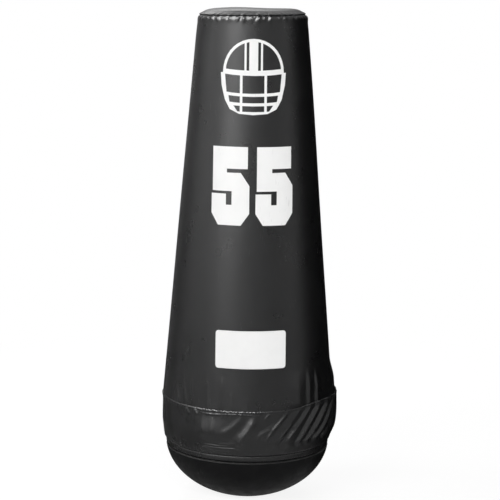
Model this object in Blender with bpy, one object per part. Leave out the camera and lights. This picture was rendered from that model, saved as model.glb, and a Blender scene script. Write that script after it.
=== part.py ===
"""Pop-up tackling dummy: a tapered foam body in a vinyl cover on a weighted, round-bottomed bowl.

Metres, +Z up. The origin is the centre of the flat foot and the printed front faces -Y.
Each object is one separate physical piece. Angles round the dummy are counted from the front
towards +X, so the front is 0 degrees, the right side 90 degrees and the zip at the back 180 degrees.
"""

import math

import bmesh
import bpy
from mathutils import Matrix, Vector

# Clearances shared by all pieces, close and loose, and how far a cutter runs past what it cuts
FIT_GAP = 0.0003
LOOSE_GAP = 0.0005
CUT_OVERRUN = 0.002
WELD_SHARE = 0.01
SMOOTH_ANGLE = math.radians(30)

# Whole dummy
TOTAL_HEIGHT = 1.702
SIDES = 48

# Base bowl: an ellipsoid cut flat at the foot, with a lip, a groove for the hem and a plain rim
FOOT_RADIUS = 0.090
BOWL_RADIUS = 0.289
BOWL_DEPTH = 0.210
BOWL_WALL = 0.012
LIP_DROP = 0.0236
LIP_ROUNDING = 0.003
LIP_BENDS = (math.radians(30), math.radians(60), math.radians(90))
GROOVE_DEPTH = 0.0145
GROOVE_HEIGHT = 0.034
RIM_HEIGHT = 0.050
RIM_INSET = 0.0005
RIM_THICKNESS = 0.0265
RIM_CHAMFER = 0.003
LEDGE_DROP = 0.074
LEDGE_WIDTH = 0.014
LEDGE_THICKNESS = 0.022
LEDGE_TAPER = 0.020
FLOOR_THICKNESS = 0.010
BOWL_RINGS = 10
BOWL_INNER_RINGS = 5

# Centre bolt through the bowl, the plates and the deck
BOLT_RADIUS = 0.008
BOLT_HEAD_WIDTH = 0.024
BOLT_HEAD_HEIGHT = 0.010
BOLT_SIDES = 16
BOLT_TIP = 0.005
BOLT_CHAMFER = 0.001
HEX_SIDES = 6
NUT_HEIGHT = 0.013
WASHER_RADIUS = 0.017
WASHER_THICKNESS = 0.003
PLUG_THICKNESS = 0.0045
PLUG_SET_BACK = 0.001
PLUG_RADIUS = 0.030

# Ballast plates, which fill the bowl from its floor to the deck board
PLATE_NAMES = ("foot", "lower", "middle", "upper")
PLATE_CLEARANCE = 0.001
DECK_THICKNESS = 0.018

# Deck screws
SCREW_COUNT = 6
SCREW_RADIUS = 0.0025
SCREW_HEAD_RADIUS = 0.0048
SCREW_HEAD_DEPTH = 0.0030
SCREW_HEAD_RIM = 0.0010
SCREW_LENGTH = 0.032
SCREW_SINK = 0.0005
SCREW_POINT = 0.004
SCREW_SIDES = 8

# Foam body
FOAM_FLANGE_HEIGHT = 0.0675
FOAM_FLANGE_SLACK = 0.0013
FOAM_WALL = 0.018
CAP_WALL = 0.018
NUT_RECESS_RADIUS = 0.030
NUT_RECESS_DEPTH = 0.034
COLUMN_RADIUS = 0.032
COLUMN_SIDES = 24
DIVIDER_THICKNESS = 0.022
SLEEVE_NAMES = ("lower", "middle", "upper")

# Cover: a straight cone from the skirt seam to the shoulder, then drawn in to the top seam
COVER_THICKNESS = 0.002
COVER_FLARE = 0.0105
COVER_SHOULDER_RADIUS = 0.1945
COVER_TUCK = 0.010
SHOULDER_HEIGHT = 0.080
SHOULDER_DRAW = 0.0053
SHOULDER_ROWS = 3
TOP_CROWN = 0.018
TOP_EDGE = 0.004
TOP_CROWN_POWER = 5.0
TOP_RINGS = 6

# Hem casing, its draw cord and the ferrule that joins the cord's ends
CASING_HEIGHT = 0.0196
CASING_DEPTH = 0.0124
CASING_LIFT = 0.0052
CORD_RADIUS = 0.0025
CORD_SIDES = 6
FERRULE_RADIUS = 0.0045
FERRULE_LENGTH = 0.024
CASING_SECTION_SHARES = ((1.0, -0.45), (0.62, -1.0), (-0.62, -1.0), (-1.0, -0.45), (-1.0, 0.45), (-0.62, 1.0),
                         (0.62, 1.0), (1.0, 0.45))

# Skirt, with its slanting pleats at the right of the front
SKIRT_LENGTH = 0.160
SKIRT_THICKNESS = 0.002
SKIRT_FIT = 0.0010
HEM_TUCK = 0.0023
HEM_TUCK_HEIGHT = 0.0045
HEM_OVERHANG = 0.0034
SKIRT_BULGE = 0.0017
PLEAT_DEPTH = 0.0042
PLEAT_START = math.radians(14)
PLEAT_END = math.radians(100)
PLEAT_PITCH = math.radians(9.6)
PLEAT_SLANT_TURN = math.radians(19)
FINE_STEP_SHARE = 0.25
COARSE_STEP = math.radians(6.6)
PLEAT_FADE_SHARE = 0.06
PLEAT_SWELL_POWER = 1.3
PLEAT_SHARPNESS = 1.5
SKIRT_ROUND_SHARE = 0.5
SKIRT_ROUND_POWER = 2.2
SKIRT_FALL_POWER = 1.6
SKIRT_ROW_SHARES = (0.0, 0.03, 0.16, 0.34, 0.56, 0.78, 1.0)

# Prints and patch on the front; heights are shares of the cover between skirt and top seam
PRINT_THICKNESS = 0.0006
PRINT_STRIP = 0.018
STRIP_SLACK_SHARE = 0.05
CORNER_STEPS = 3
PRINT_GAP = 0.0004
EMBLEM_PLACE_SHARE = 0.850
EMBLEM_WIDTH = 0.228
EMBLEM_HEIGHT = 0.252
NUMBER_PLACE_SHARE = 0.571
NUMBER_WIDTH = 0.140
NUMBER_HEIGHT = 0.267
NUMBER_SPACING = 0.0145
LABEL_PLACE_SHARE = 0.158
LABEL_WIDTH = 0.249
LABEL_HEIGHT = 0.130
LABEL_CORNER = 0.010
LABEL_THICKNESS = 0.0012

# Outline of a block figure five, in shares of its width and height from its top left corner
FIVE_SHARES = (
    (0.03, 0.00), (0.955, 0.00), (0.955, 0.28), (0.42, 0.28), (0.42, 0.33), (0.78, 0.33), (1.00, 0.495),
    (1.00, 0.85), (0.79, 1.00), (0.19, 1.00), (0.00, 0.85), (0.00, 0.60), (0.40, 0.60), (0.40, 0.74),
    (0.55, 0.74), (0.55, 0.565), (0.03, 0.565),
)

# Helmet emblem, in shares of its half width and of its height from its middle
EMBLEM_DOME_SHARE = 0.93
EMBLEM_BAND_SHARE = 0.085
EMBLEM_BROW_SHARE = 0.045
EMBLEM_BROW_HEIGHT_SHARE = 0.09
EMBLEM_EYE_SHARE = -0.19
EMBLEM_BAR_SHARE = 0.040
EMBLEM_MOUTH_SHARES = (-0.315, -0.43)
EMBLEM_STRIPE_SHARES = (0.13, 0.21, 0.27)
EMBLEM_POST_SHARES = (-0.36, 0.36)
EMBLEM_POST_WIDTH_SHARE = 0.075
EMBLEM_JAW_SHARES = ((1.0, 0.055), (0.97, -0.11), (0.86, -0.30), (0.70, -0.425), (0.42, -0.485), (0.0, -0.50))
EMBLEM_STEPS = 9
EMBLEM_FIELD_SHARE = 0.985
EMBLEM_LEDGE_SHARE = 0.004
EMBLEM_JAW_BAND_SHARE = 0.11
EMBLEM_SAG_SHARE = 0.03
EMBLEM_WINDOW_STEPS = 2

# Zip down the back; places are counted from the cover's surface
ZIP_FOOT = 0.060
ZIP_TOP_MARGIN = 0.020
TAPE_WIDTH = 0.0118
TAPE_THICKNESS = 0.0012
TAPE_RECESS = 0.0005
CHAIN_WIDTH = 0.0054
CHAIN_THICKNESS = 0.0025
CHAIN_PROUD = 0.0006
STOP_WIDTH = 0.0080
STOP_LENGTH = 0.006
STOP_HEIGHT = 0.0024
SLIDER_LENGTH = 0.016
SLIDER_WIDTH = 0.0116
SLIDER_PLATE = 0.0016
LUG_WIDTH = 0.0020
LUG_LENGTH = 0.005
PIN_RADIUS = 0.0009
PIN_LIFT = 0.0033
EYE_WALL = 0.0014
EYE_WIDTH = 0.0054
PULL_WIDTH = 0.0100
PULL_LENGTH = 0.036
PULL_NECK = 0.007
PULL_NECK_WIDTH = 0.0044
PULL_THICKNESS = 0.0016
PULL_SIDES = 16
PULL_TIP_STEPS = 8

# Heights and radii worked out from the sizes above
face_share = math.cos(math.pi / SIDES)
equator = BOWL_DEPTH * math.sqrt(1 - (FOOT_RADIUS / BOWL_RADIUS) ** 2)
lip_top = equator - LIP_DROP
groove_radius = BOWL_RADIUS - GROOVE_DEPTH
groove_top = lip_top + GROOVE_HEIGHT
rim_radius = BOWL_RADIUS - RIM_INSET
rim_top = groove_top + RIM_CHAMFER + RIM_HEIGHT
rim_inner = rim_radius - RIM_THICKNESS
ledge_top = rim_top - LEDGE_DROP
ledge_inner = rim_inner - LEDGE_WIDTH
recess_radius = PLUG_RADIUS + FIT_GAP
recess_top = PLUG_SET_BACK + PLUG_THICKNESS + BOLT_HEAD_HEIGHT + 2 * FIT_GAP
floor_top = recess_top + FLOOR_THICKNESS
taper_bottom = ledge_top - LEDGE_THICKNESS - LEDGE_TAPER
bolt_hole = BOLT_RADIUS + LOOSE_GAP
deck_bottom = ledge_top + FIT_GAP
deck_top = deck_bottom + DECK_THICKNESS
deck_radius = rim_inner - LOOSE_GAP
screw_circle = (ledge_inner + rim_inner) / 2
foam_bottom = deck_top + FIT_GAP
foam_base_top = rim_top + FIT_GAP + FOAM_FLANGE_HEIGHT
casing_radius = groove_radius + FIT_GAP + CASING_DEPTH / 2
casing_height = lip_top + CASING_LIFT + CASING_HEIGHT / 2
hem_height = casing_height + CASING_HEIGHT / 2 + FIT_GAP
skirt_top = hem_height + SKIRT_LENGTH
cover_bottom = skirt_top - COVER_TUCK
top_seam = TOTAL_HEIGHT - TOP_CROWN - TOP_EDGE
shoulder = top_seam - SHOULDER_HEIGHT
cover_seam_radius = BOWL_RADIUS + COVER_FLARE
cone_slope = (cover_seam_radius - COVER_SHOULDER_RADIUS) / (shoulder - skirt_top)
back_angle = math.atan(cone_slope * face_share)
cover_foot_radius = cover_seam_radius + cone_slope * COVER_TUCK
skirt_seam_radius = cover_foot_radius + SKIRT_FIT + SKIRT_THICKNESS
skirt_radius = skirt_seam_radius + SKIRT_BULGE
hem_radius = casing_radius + CASING_DEPTH / 2 + HEM_OVERHANG
flange_radius = skirt_radius - SKIRT_THICKNESS - PLEAT_DEPTH - FOAM_FLANGE_SLACK
cover_inset = COVER_THICKNESS + LOOSE_GAP
zip_bottom = skirt_top + ZIP_FOOT
zip_top = shoulder - ZIP_TOP_MARGIN


def clear_scene():
    """Removes whatever the scene holds."""
    for thing in list(bpy.data.objects):
        bpy.data.objects.remove(thing, do_unlink=True)


def make_material(name, colour, roughness, metallic=0.0):
    """A Principled material of one colour."""
    material = bpy.data.materials.new(name)
    material.use_nodes = True
    shader = material.node_tree.nodes["Principled BSDF"]
    shader.inputs["Base Color"].default_value = (*colour, 1.0)
    shader.inputs["Roughness"].default_value = roughness
    shader.inputs["Metallic"].default_value = metallic
    material.diffuse_color = (*colour, 1.0)
    return material


def close_mesh(bm):
    """Welds doubles, drops what collapsed on an axis and turns the faces outwards."""
    weld = FIT_GAP * WELD_SHARE
    bmesh.ops.remove_doubles(bm, verts=bm.verts, dist=weld)
    bmesh.ops.dissolve_degenerate(bm, edges=bm.edges, dist=weld)
    wires = [edge for edge in bm.edges if not edge.link_faces]
    bmesh.ops.delete(bm, geom=wires, context="EDGES")
    bmesh.ops.recalc_face_normals(bm, faces=bm.faces)


def add_object(name, bm, material, smooth=True):
    """Makes a scene object from a bmesh, which it welds, faces outwards and frees."""
    close_mesh(bm)
    mesh = bpy.data.meshes.new(name)
    bm.to_mesh(mesh)
    bm.free()
    if smooth:
        mesh.shade_smooth()
        mesh.set_sharp_from_angle(angle=SMOOTH_ANGLE)
    thing = bpy.data.objects.new(name, mesh)
    thing.data.materials.append(material)
    bpy.context.scene.collection.objects.link(thing)
    return thing


def hide_as_cutter(thing):
    """Marks an object as a cutter that isn't part of the dummy."""
    thing.hide_render = True
    thing.display_type = "WIRE"
    return thing


def apply_boolean(thing, other, operation):
    """Adds an exact Boolean of another object to this one."""
    modifier = thing.modifiers.new(operation.title(), "BOOLEAN")
    modifier.object = other
    modifier.operation = operation
    modifier.solver = "EXACT"


def turned_mesh(profile, sides, bm=None, matrix=None):
    """Turns a closed outline of (radius, height) points about the Z axis, a flat side facing each axis."""
    target = bm or bmesh.new()
    rings = []
    for radius, height in profile:
        ring = []
        for i in range(sides):
            angle = 2 * math.pi * (i + 0.5) / sides
            place = Vector((radius * math.cos(angle), radius * math.sin(angle), height))
            ring.append(target.verts.new(matrix @ place if matrix else place))
        rings.append(ring)
    for ring, following in zip(rings, rings[1:] + rings[:1]):
        for i in range(sides):
            j = (i + 1) % sides
            target.faces.new((ring[i], ring[j], following[j], following[i]))
    return target


def turned(name, profile, material, sides=SIDES):
    """A turned piece; outline points on the axis meet in one point there."""
    return add_object(name, turned_mesh(profile, sides), material)


def extruded(name, outline, low, high, material, matrix=None, smooth=False):
    """A flat outline of (x, y) points carried along Z between two heights."""
    bm = bmesh.new()
    bottom = [bm.verts.new((x, y, low)) for x, y in outline]
    face = bm.faces.new(bottom)
    pushed = bmesh.ops.extrude_face_region(bm, geom=[face])
    moved = [part for part in pushed["geom"] if isinstance(part, bmesh.types.BMVert)]
    bmesh.ops.translate(bm, verts=moved, vec=(0, 0, high - low))
    if matrix:
        bmesh.ops.transform(bm, verts=bm.verts, matrix=matrix)
    return add_object(name, bm, material, smooth)


def box_outline(left, right, front, back):
    """The four corners of an upright rectangle."""
    return ((left, front), (right, front), (right, back), (left, back))


def cone_radius(height):
    """Radius of the cover's straight cone at a height."""
    return cover_seam_radius - cone_slope * (height - skirt_top)


def cover_radius(height):
    """Outer radius of the cover: the cone, drawn in above the shoulder as a parabola."""
    above = max(0.0, height - shoulder) / SHOULDER_HEIGHT
    return cone_radius(height) - SHOULDER_DRAW * above ** 2


def shoulder_heights():
    """Heights of the cover's rows from the shoulder to the top seam."""
    return [shoulder + SHOULDER_HEIGHT * i / SHOULDER_ROWS for i in range(SHOULDER_ROWS + 1)]


def ellipse_radius(height, wall):
    """Radius of the bowl's ellipsoid, or of the same one shrunk by a wall."""
    drop = min(1.0, abs(equator - height) / (BOWL_DEPTH - wall))
    return (BOWL_RADIUS - wall) * math.sqrt(1 - drop ** 2)


def bowl_inner_profile():
    """The bowl's inside from the edge of its floor up to the underside of the ledge."""
    points = []
    for i in range(BOWL_INNER_RINGS):
        t = math.sin(math.pi / 2 * i / (BOWL_INNER_RINGS - 1)) ** 2
        height = floor_top + (taper_bottom - floor_top) * t
        points.append((ellipse_radius(height, BOWL_WALL), height))
    points.append((ledge_inner, ledge_top - LEDGE_THICKNESS))
    return points


def bowl_outer_profile():
    """The bowl's outside from the foot's edge up to its rounded lip."""
    start = math.asin(FOOT_RADIUS / BOWL_RADIUS)
    lip_start = lip_top - LIP_ROUNDING
    end = math.acos((equator - lip_start) / BOWL_DEPTH)
    points = []
    for i in range(BOWL_RINGS):
        angle = start + (end - start) * i / (BOWL_RINGS - 1)
        points.append((BOWL_RADIUS * math.sin(angle), equator - BOWL_DEPTH * math.cos(angle)))
    lip_radius = points[-1][0]
    for bend in LIP_BENDS:
        radius = lip_radius - LIP_ROUNDING * (1 - math.cos(bend))
        points.append((radius, lip_start + LIP_ROUNDING * math.sin(bend)))
    return points


def build_bowl(material, screw_holes):
    """Base bowl, with the recess for the bolt's head under its flat foot and a ledge for the deck."""
    profile = [(bolt_hole, recess_top), (recess_radius, recess_top), (recess_radius, 0.0)]
    profile += bowl_outer_profile()
    profile += [
        (groove_radius, lip_top),
        (groove_radius, groove_top),
        (rim_radius, groove_top + RIM_CHAMFER),
        (rim_radius, rim_top - RIM_CHAMFER),
        (rim_radius - RIM_CHAMFER, rim_top),
        (rim_inner, rim_top),
        (rim_inner, ledge_top),
        (ledge_inner, ledge_top),
    ]
    profile += reversed(bowl_inner_profile())
    profile += [(bolt_hole, floor_top)]
    bowl = turned("base_bowl", profile, material)
    apply_boolean(bowl, screw_holes, "DIFFERENCE")


def screw_profile():
    """Outline of a countersunk deck screw whose top is at height zero."""
    return [
        (0.0, 0.0),
        (0.0, -SCREW_LENGTH),
        (SCREW_RADIUS / 2, -SCREW_LENGTH),
        (SCREW_RADIUS, SCREW_POINT - SCREW_LENGTH),
        (SCREW_RADIUS, -SCREW_HEAD_DEPTH),
        (SCREW_HEAD_RADIUS, -SCREW_HEAD_RIM),
        (SCREW_HEAD_RADIUS, 0.0),
    ]


def screw_places():
    """Matrices that stand the deck screws in their circle, their tops just under the deck's top."""
    for i in range(SCREW_COUNT):
        angle = 2 * math.pi * (i + 0.5) / SCREW_COUNT
        x, y = screw_circle * math.sin(angle), -screw_circle * math.cos(angle)
        yield Matrix.Translation((x, y, deck_top - SCREW_SINK))


def screw_cutter(material):
    """One cutter with a countersunk hole for each deck screw, open above the deck."""
    shaft = SCREW_RADIUS + FIT_GAP
    head = SCREW_HEAD_RADIUS + FIT_GAP
    tip = -SCREW_LENGTH - FIT_GAP
    profile = [
        (0.0, CUT_OVERRUN),
        (0.0, tip),
        (shaft, tip),
        (shaft, -SCREW_HEAD_DEPTH),
        (head, -SCREW_HEAD_RIM),
        (head, CUT_OVERRUN),
    ]
    bm = bmesh.new()
    for place in screw_places():
        turned_mesh(profile, SCREW_SIDES, bm, place)
    return hide_as_cutter(add_object("screw_hole_cutter", bm, material))


def build_ballast(iron, rubber):
    """Ballast plates from the bowl's floor to the deck, and the plug that closes the foot's recess."""
    inside = bowl_inner_profile()
    pitch = (deck_bottom - floor_top) / len(PLATE_NAMES)
    low = floor_top + FIT_GAP
    for name in PLATE_NAMES:
        high = low + pitch - FIT_GAP
        edge = min(inner_radius_at(inside, low), inner_radius_at(inside, high)) - PLATE_CLEARANCE
        profile = [(bolt_hole, low), (edge, low), (edge, high), (bolt_hole, high)]
        turned("ballast_plate_" + name, profile, iron)
        low = high + FIT_GAP
    plug_top = PLUG_SET_BACK + PLUG_THICKNESS
    plug = [(0.0, PLUG_SET_BACK), (PLUG_RADIUS, PLUG_SET_BACK), (PLUG_RADIUS, plug_top), (0.0, plug_top)]
    turned("foot_plug", plug, rubber, SIDES)


def inner_radius_at(profile, height):
    """Radius of a rising outline at a height, along its straight stretches."""
    for (r0, z0), (r1, z1) in zip(profile, profile[1:]):
        if z0 <= height <= z1:
            return r0 + (r1 - r0) * (height - z0) / (z1 - z0)
    return profile[-1][0]


def build_bolt(steel):
    """Centre bolt with its head in the foot's recess, and the washer and nut on the deck."""
    head_bottom = PLUG_SET_BACK + PLUG_THICKNESS + FIT_GAP
    head_top = head_bottom + BOLT_HEAD_HEIGHT
    head_radius = BOLT_HEAD_WIDTH / math.sqrt(3)
    washer_bottom = deck_top + FIT_GAP
    nut_bottom = washer_bottom + WASHER_THICKNESS + FIT_GAP
    bolt_end = nut_bottom + NUT_HEIGHT + BOLT_TIP
    shank = [
        (0.0, head_bottom + BOLT_CHAMFER),
        (BOLT_RADIUS, head_bottom + BOLT_CHAMFER),
        (BOLT_RADIUS, bolt_end - BOLT_CHAMFER),
        (BOLT_RADIUS - BOLT_CHAMFER, bolt_end),
        (0.0, bolt_end),
    ]
    bolt = turned("centre_bolt", shank, steel, BOLT_SIDES)
    head = [(0.0, head_bottom), (head_radius, head_bottom), (head_radius, head_top), (0.0, head_top)]
    apply_boolean(bolt, hide_as_cutter(turned("bolt_head_tool", head, steel, HEX_SIDES)), "UNION")
    washer_top = washer_bottom + WASHER_THICKNESS
    washer = [
        (bolt_hole, washer_bottom),
        (WASHER_RADIUS, washer_bottom),
        (WASHER_RADIUS, washer_top),
        (bolt_hole, washer_top),
    ]
    turned("bolt_washer", washer, steel, BOLT_SIDES)
    nut_top = nut_bottom + NUT_HEIGHT
    nut_profile = [(0.0, nut_bottom), (head_radius, nut_bottom), (head_radius, nut_top), (0.0, nut_top)]
    nut = turned("bolt_nut", nut_profile, steel, HEX_SIDES)
    bore_radius = BOLT_RADIUS + FIT_GAP
    bore = [
        (0.0, nut_bottom - CUT_OVERRUN),
        (bore_radius, nut_bottom - CUT_OVERRUN),
        (bore_radius, nut_top + CUT_OVERRUN),
        (0.0, nut_top + CUT_OVERRUN),
    ]
    apply_boolean(nut, hide_as_cutter(turned("nut_bore_cutter", bore, steel, BOLT_SIDES)), "DIFFERENCE")


def build_deck(wood, steel, screw_holes):
    """Deck board that closes the bowl, screwed down to its ledge."""
    profile = [
        (bolt_hole, deck_bottom),
        (deck_radius, deck_bottom),
        (deck_radius, deck_top),
        (bolt_hole, deck_top),
    ]
    deck = turned("deck_board", profile, wood)
    apply_boolean(deck, screw_holes, "DIFFERENCE")
    for i, place in enumerate(screw_places()):
        screw = turned("deck_screw_%d" % (i + 1), screw_profile(), steel, SCREW_SIDES)
        screw.matrix_world = place


def build_foam(foam, firm_foam):
    """Foam base, tapered sleeves on a firm column, dividers inside the sleeves and a crowned cap."""
    base = [
        (0.0, foam_bottom + NUT_RECESS_DEPTH),
        (NUT_RECESS_RADIUS, foam_bottom + NUT_RECESS_DEPTH),
        (NUT_RECESS_RADIUS, foam_bottom),
        (rim_inner - LOOSE_GAP, foam_bottom),
        (rim_inner - LOOSE_GAP, rim_top + FIT_GAP),
        (flange_radius, rim_top + FIT_GAP),
        (flange_radius, foam_base_top),
        (0.0, foam_base_top),
    ]
    turned("foam_base", base, foam)
    column_bottom = foam_base_top + FIT_GAP
    span = (shoulder - column_bottom) / len(SLEEVE_NAMES)
    for i, name in enumerate(SLEEVE_NAMES):
        low = column_bottom + span * i
        high = low + span - FIT_GAP
        outer_low = min(cone_radius(low) - cover_inset, flange_radius)
        outer_high = cone_radius(high) - cover_inset
        profile = [
            (outer_low - FOAM_WALL, low),
            (outer_low, low),
            (outer_high, high),
            (outer_high - FOAM_WALL, high),
        ]
        turned("foam_sleeve_" + name, profile, foam)
        if i > 0:
            build_divider("foam_divider_" + name, (outer_low, low), (outer_high, high), firm_foam)
    column = [
        (0.0, column_bottom),
        (COLUMN_RADIUS, column_bottom),
        (COLUMN_RADIUS, shoulder - FIT_GAP),
        (0.0, shoulder - FIT_GAP),
    ]
    turned("foam_column", column, firm_foam, COLUMN_SIDES)
    rows = shoulder_heights()
    cap_inside = cover_radius(top_seam) - cover_inset - CAP_WALL
    cap = [(cap_inside, shoulder)] + [(cover_radius(height) - cover_inset, height) for height in rows[:-1]]
    edge_height = top_seam - LOOSE_GAP
    cap.append((cover_radius(edge_height) - cover_inset, edge_height))
    cap += crown_points(cover_radius(top_seam) - cover_inset, top_seam + TOP_EDGE - cover_inset)
    cap += [(0.0, top_seam - CAP_WALL), (cap_inside, top_seam - CAP_WALL)]
    turned("foam_cap", cap, foam)


def build_divider(name, low_point, high_point, material):
    """A tapered disc that fits between the column and the lower end of a sleeve."""
    (r0, z0), (r1, z1) = low_point, high_point
    top = z0 + DIVIDER_THICKNESS
    wall = FOAM_WALL + LOOSE_GAP
    outer_low = r0 - wall
    outer_top = r0 + (r1 - r0) * DIVIDER_THICKNESS / (z1 - z0) - wall
    inner = COLUMN_RADIUS + LOOSE_GAP
    turned(name, [(inner, z0), (outer_low, z0), (outer_top, top), (inner, top)], material)


def crown_points(edge_radius, edge_height):
    """Points of the top's crown from its edge to the axis: height falls off as a power of the radius."""
    points = []
    for i in range(TOP_RINGS):
        share = math.cos(math.pi / 2 * i / (TOP_RINGS - 1))
        points.append((edge_radius * share, edge_height + TOP_CROWN * (1 - share ** TOP_CROWN_POWER)))
    points[-1] = (0.0, points[-1][1])
    return points


def build_cover(vinyl):
    """Tapered cover with the slot for the zip, and the crowned top panel sewn to it."""
    heights = [cover_bottom] + shoulder_heights()
    outer = [(cover_radius(height), height) for height in heights]
    inner = [(radius - COVER_THICKNESS, height) for radius, height in outer]
    cover = turned("cover_body", outer + list(reversed(inner)), vinyl)
    half_slot = TAPE_WIDTH + CHAIN_WIDTH / 2 + 2 * FIT_GAP
    slot = box_outline(-half_slot, half_slot, -COVER_SHOULDER_RADIUS / 2, COVER_SHOULDER_RADIUS / 2)
    low = back_place(zip_bottom - STOP_LENGTH - FIT_GAP)
    cutter = extruded("zip_slot_cutter", slot, 0.0, zip_length() + 2 * (STOP_LENGTH + FIT_GAP), vinyl, low)
    apply_boolean(cover, hide_as_cutter(cutter), "DIFFERENCE")
    radius = cover_radius(top_seam)
    edge = top_seam + TOP_EDGE
    panel = [(radius, top_seam + FIT_GAP)] + crown_points(radius, edge)
    inside = crown_points(radius - COVER_THICKNESS, edge - COVER_THICKNESS)
    panel += list(reversed(inside)) + [(radius - COVER_THICKNESS, top_seam + FIT_GAP)]
    turned("top_panel", panel, vinyl)


def skirt_angles():
    """Angles of the skirt's upright rows: fine steps across the pleats, coarse steps elsewhere."""
    fine = PLEAT_PITCH * FINE_STEP_SHARE
    count = round((PLEAT_END - PLEAT_START) / fine)
    angles = [PLEAT_START + (PLEAT_END - PLEAT_START) * i / count for i in range(count)]
    rest = 2 * math.pi - (PLEAT_END - PLEAT_START)
    coarse = round(rest / COARSE_STEP)
    return angles + [PLEAT_END + rest * i / coarse for i in range(coarse)]


def skirt_outline(share):
    """The skirt's outer radius at a share of its height above the hem, before its pleats."""
    rise = min(1.0, share / SKIRT_ROUND_SHARE)
    radius = hem_radius + (skirt_radius - hem_radius) * (1 - (1 - rise) ** SKIRT_ROUND_POWER)
    fall = max(0.0, (share - SKIRT_ROUND_SHARE) / (1 - SKIRT_ROUND_SHARE))
    radius -= SKIRT_BULGE * fall ** SKIRT_FALL_POWER
    tuck = max(0.0, 1 - share * SKIRT_LENGTH / HEM_TUCK_HEIGHT)
    return radius - HEM_TUCK * tuck


def pleat_depth(angle, share):
    """How far the skirt dips inwards: slanting pleats that swell to the right and die out at both edges."""
    place = (angle - PLEAT_START) / (PLEAT_END - PLEAT_START)
    if not 0 < place < 1:
        return 0.0
    swell = math.sin(math.pi * place ** PLEAT_SWELL_POWER)
    swell *= math.sin(math.pi * (PLEAT_FADE_SHARE + share * (1 - PLEAT_FADE_SHARE)))
    phase = 2 * math.pi * (angle - PLEAT_SLANT_TURN * share) / PLEAT_PITCH
    return PLEAT_DEPTH * swell * (0.5 - 0.5 * math.cos(phase)) ** PLEAT_SHARPNESS


def build_skirt(vinyl):
    """Skirt sewn over the cover's lower edge and drawn in to the hem, with its pleats."""
    bm = bmesh.new()
    angles = skirt_angles()
    rings = []
    for inset in (0.0, SKIRT_THICKNESS):
        side = []
        for share in SKIRT_ROW_SHARES:
            height = hem_height + SKIRT_LENGTH * share
            ring = []
            for angle in angles:
                radius = skirt_outline(share) - pleat_depth(angle, share) - inset
                ring.append(bm.verts.new((radius * math.sin(angle), -radius * math.cos(angle), height)))
            side.append(ring)
        rings.append(side)
    loop = rings[0] + list(reversed(rings[1]))
    for ring, following in zip(loop, loop[1:] + loop[:1]):
        for i, vertex in enumerate(ring):
            j = (i + 1) % len(ring)
            bm.faces.new((vertex, ring[j], following[j], following[i]))
    add_object("skirt", bm, vinyl)


def ring_tube(name, outer, bore, start, end, material):
    """Carries a section, with an optional bore, round the Z axis from one angle to another."""
    bm = bmesh.new()
    full = math.isclose(end - start, 2 * math.pi)
    steps = round((end - start) / (2 * math.pi) * SIDES)
    count = steps if full else steps + 1
    loops = {"outer": [], "bore": []}
    for i in range(count):
        angle = start + (end - start) * i / steps
        for key, section in (("outer", outer), ("bore", bore)):
            ring = [bm.verts.new((r * math.sin(angle), -r * math.cos(angle), z)) for r, z in section]
            loops[key].append(ring)
    for key, section in (("outer", outer), ("bore", bore)):
        if not section:
            continue
        rings = loops[key]
        pairs = list(zip(rings, rings[1:]))
        if full:
            pairs.append((rings[-1], rings[0]))
        for ring, following in pairs:
            for i, vertex in enumerate(ring):
                j = (i + 1) % len(ring)
                bm.faces.new((vertex, ring[j], following[j], following[i]))
    if not full:
        for i in (0, -1):
            edges = loop_edges(bm, loops["outer"][i])
            if bore:
                edges += loop_edges(bm, loops["bore"][i])
            bmesh.ops.triangle_fill(bm, edges=edges, use_beauty=True)
    return add_object(name, bm, material)


def loop_edges(bm, ring):
    """The edges between the neighbouring vertices of a closed ring."""
    return [bm.edges.get((a, b)) for a, b in zip(ring, ring[1:] + ring[:1])]


def round_section(radius, sides, turn=0.0):
    """A round section at the hem casing's centre, as (radius, height) points."""
    return [
        (casing_radius + radius * math.cos(turn + 2 * math.pi * i / sides),
         casing_height + radius * math.sin(turn + 2 * math.pi * i / sides))
        for i in range(sides)
    ]


def build_hem(vinyl, cord_material, steel):
    """Hem casing in the bowl's groove, one side of it open at the back, its draw cord and the ferrule."""
    back = math.pi - math.pi / SIDES
    section = [
        (casing_radius + CASING_DEPTH / 2 * x, casing_height + CASING_HEIGHT / 2 * z)
        for x, z in CASING_SECTION_SHARES
    ]
    bore = round_section(CORD_RADIUS + FIT_GAP, CORD_SIDES)
    ring_tube("hem_casing", section, bore, -back, back, vinyl)
    cord = round_section(CORD_RADIUS, CORD_SIDES)
    ring_tube("draw_cord", cord, [], -back, 2 * math.pi - back, cord_material)
    place = Matrix.Translation((0.0, casing_radius * face_share, casing_height))
    reach = FERRULE_LENGTH / 2
    ferrule = across_bar("cord_ferrule", FERRULE_RADIUS, reach, place, steel, 2 * CORD_SIDES)
    bore_radius = CORD_RADIUS + FIT_GAP
    cutter = across_bar("ferrule_cutter", bore_radius, reach + CUT_OVERRUN, place, steel, CORD_SIDES)
    apply_boolean(ferrule, hide_as_cutter(cutter), "DIFFERENCE")


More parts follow.
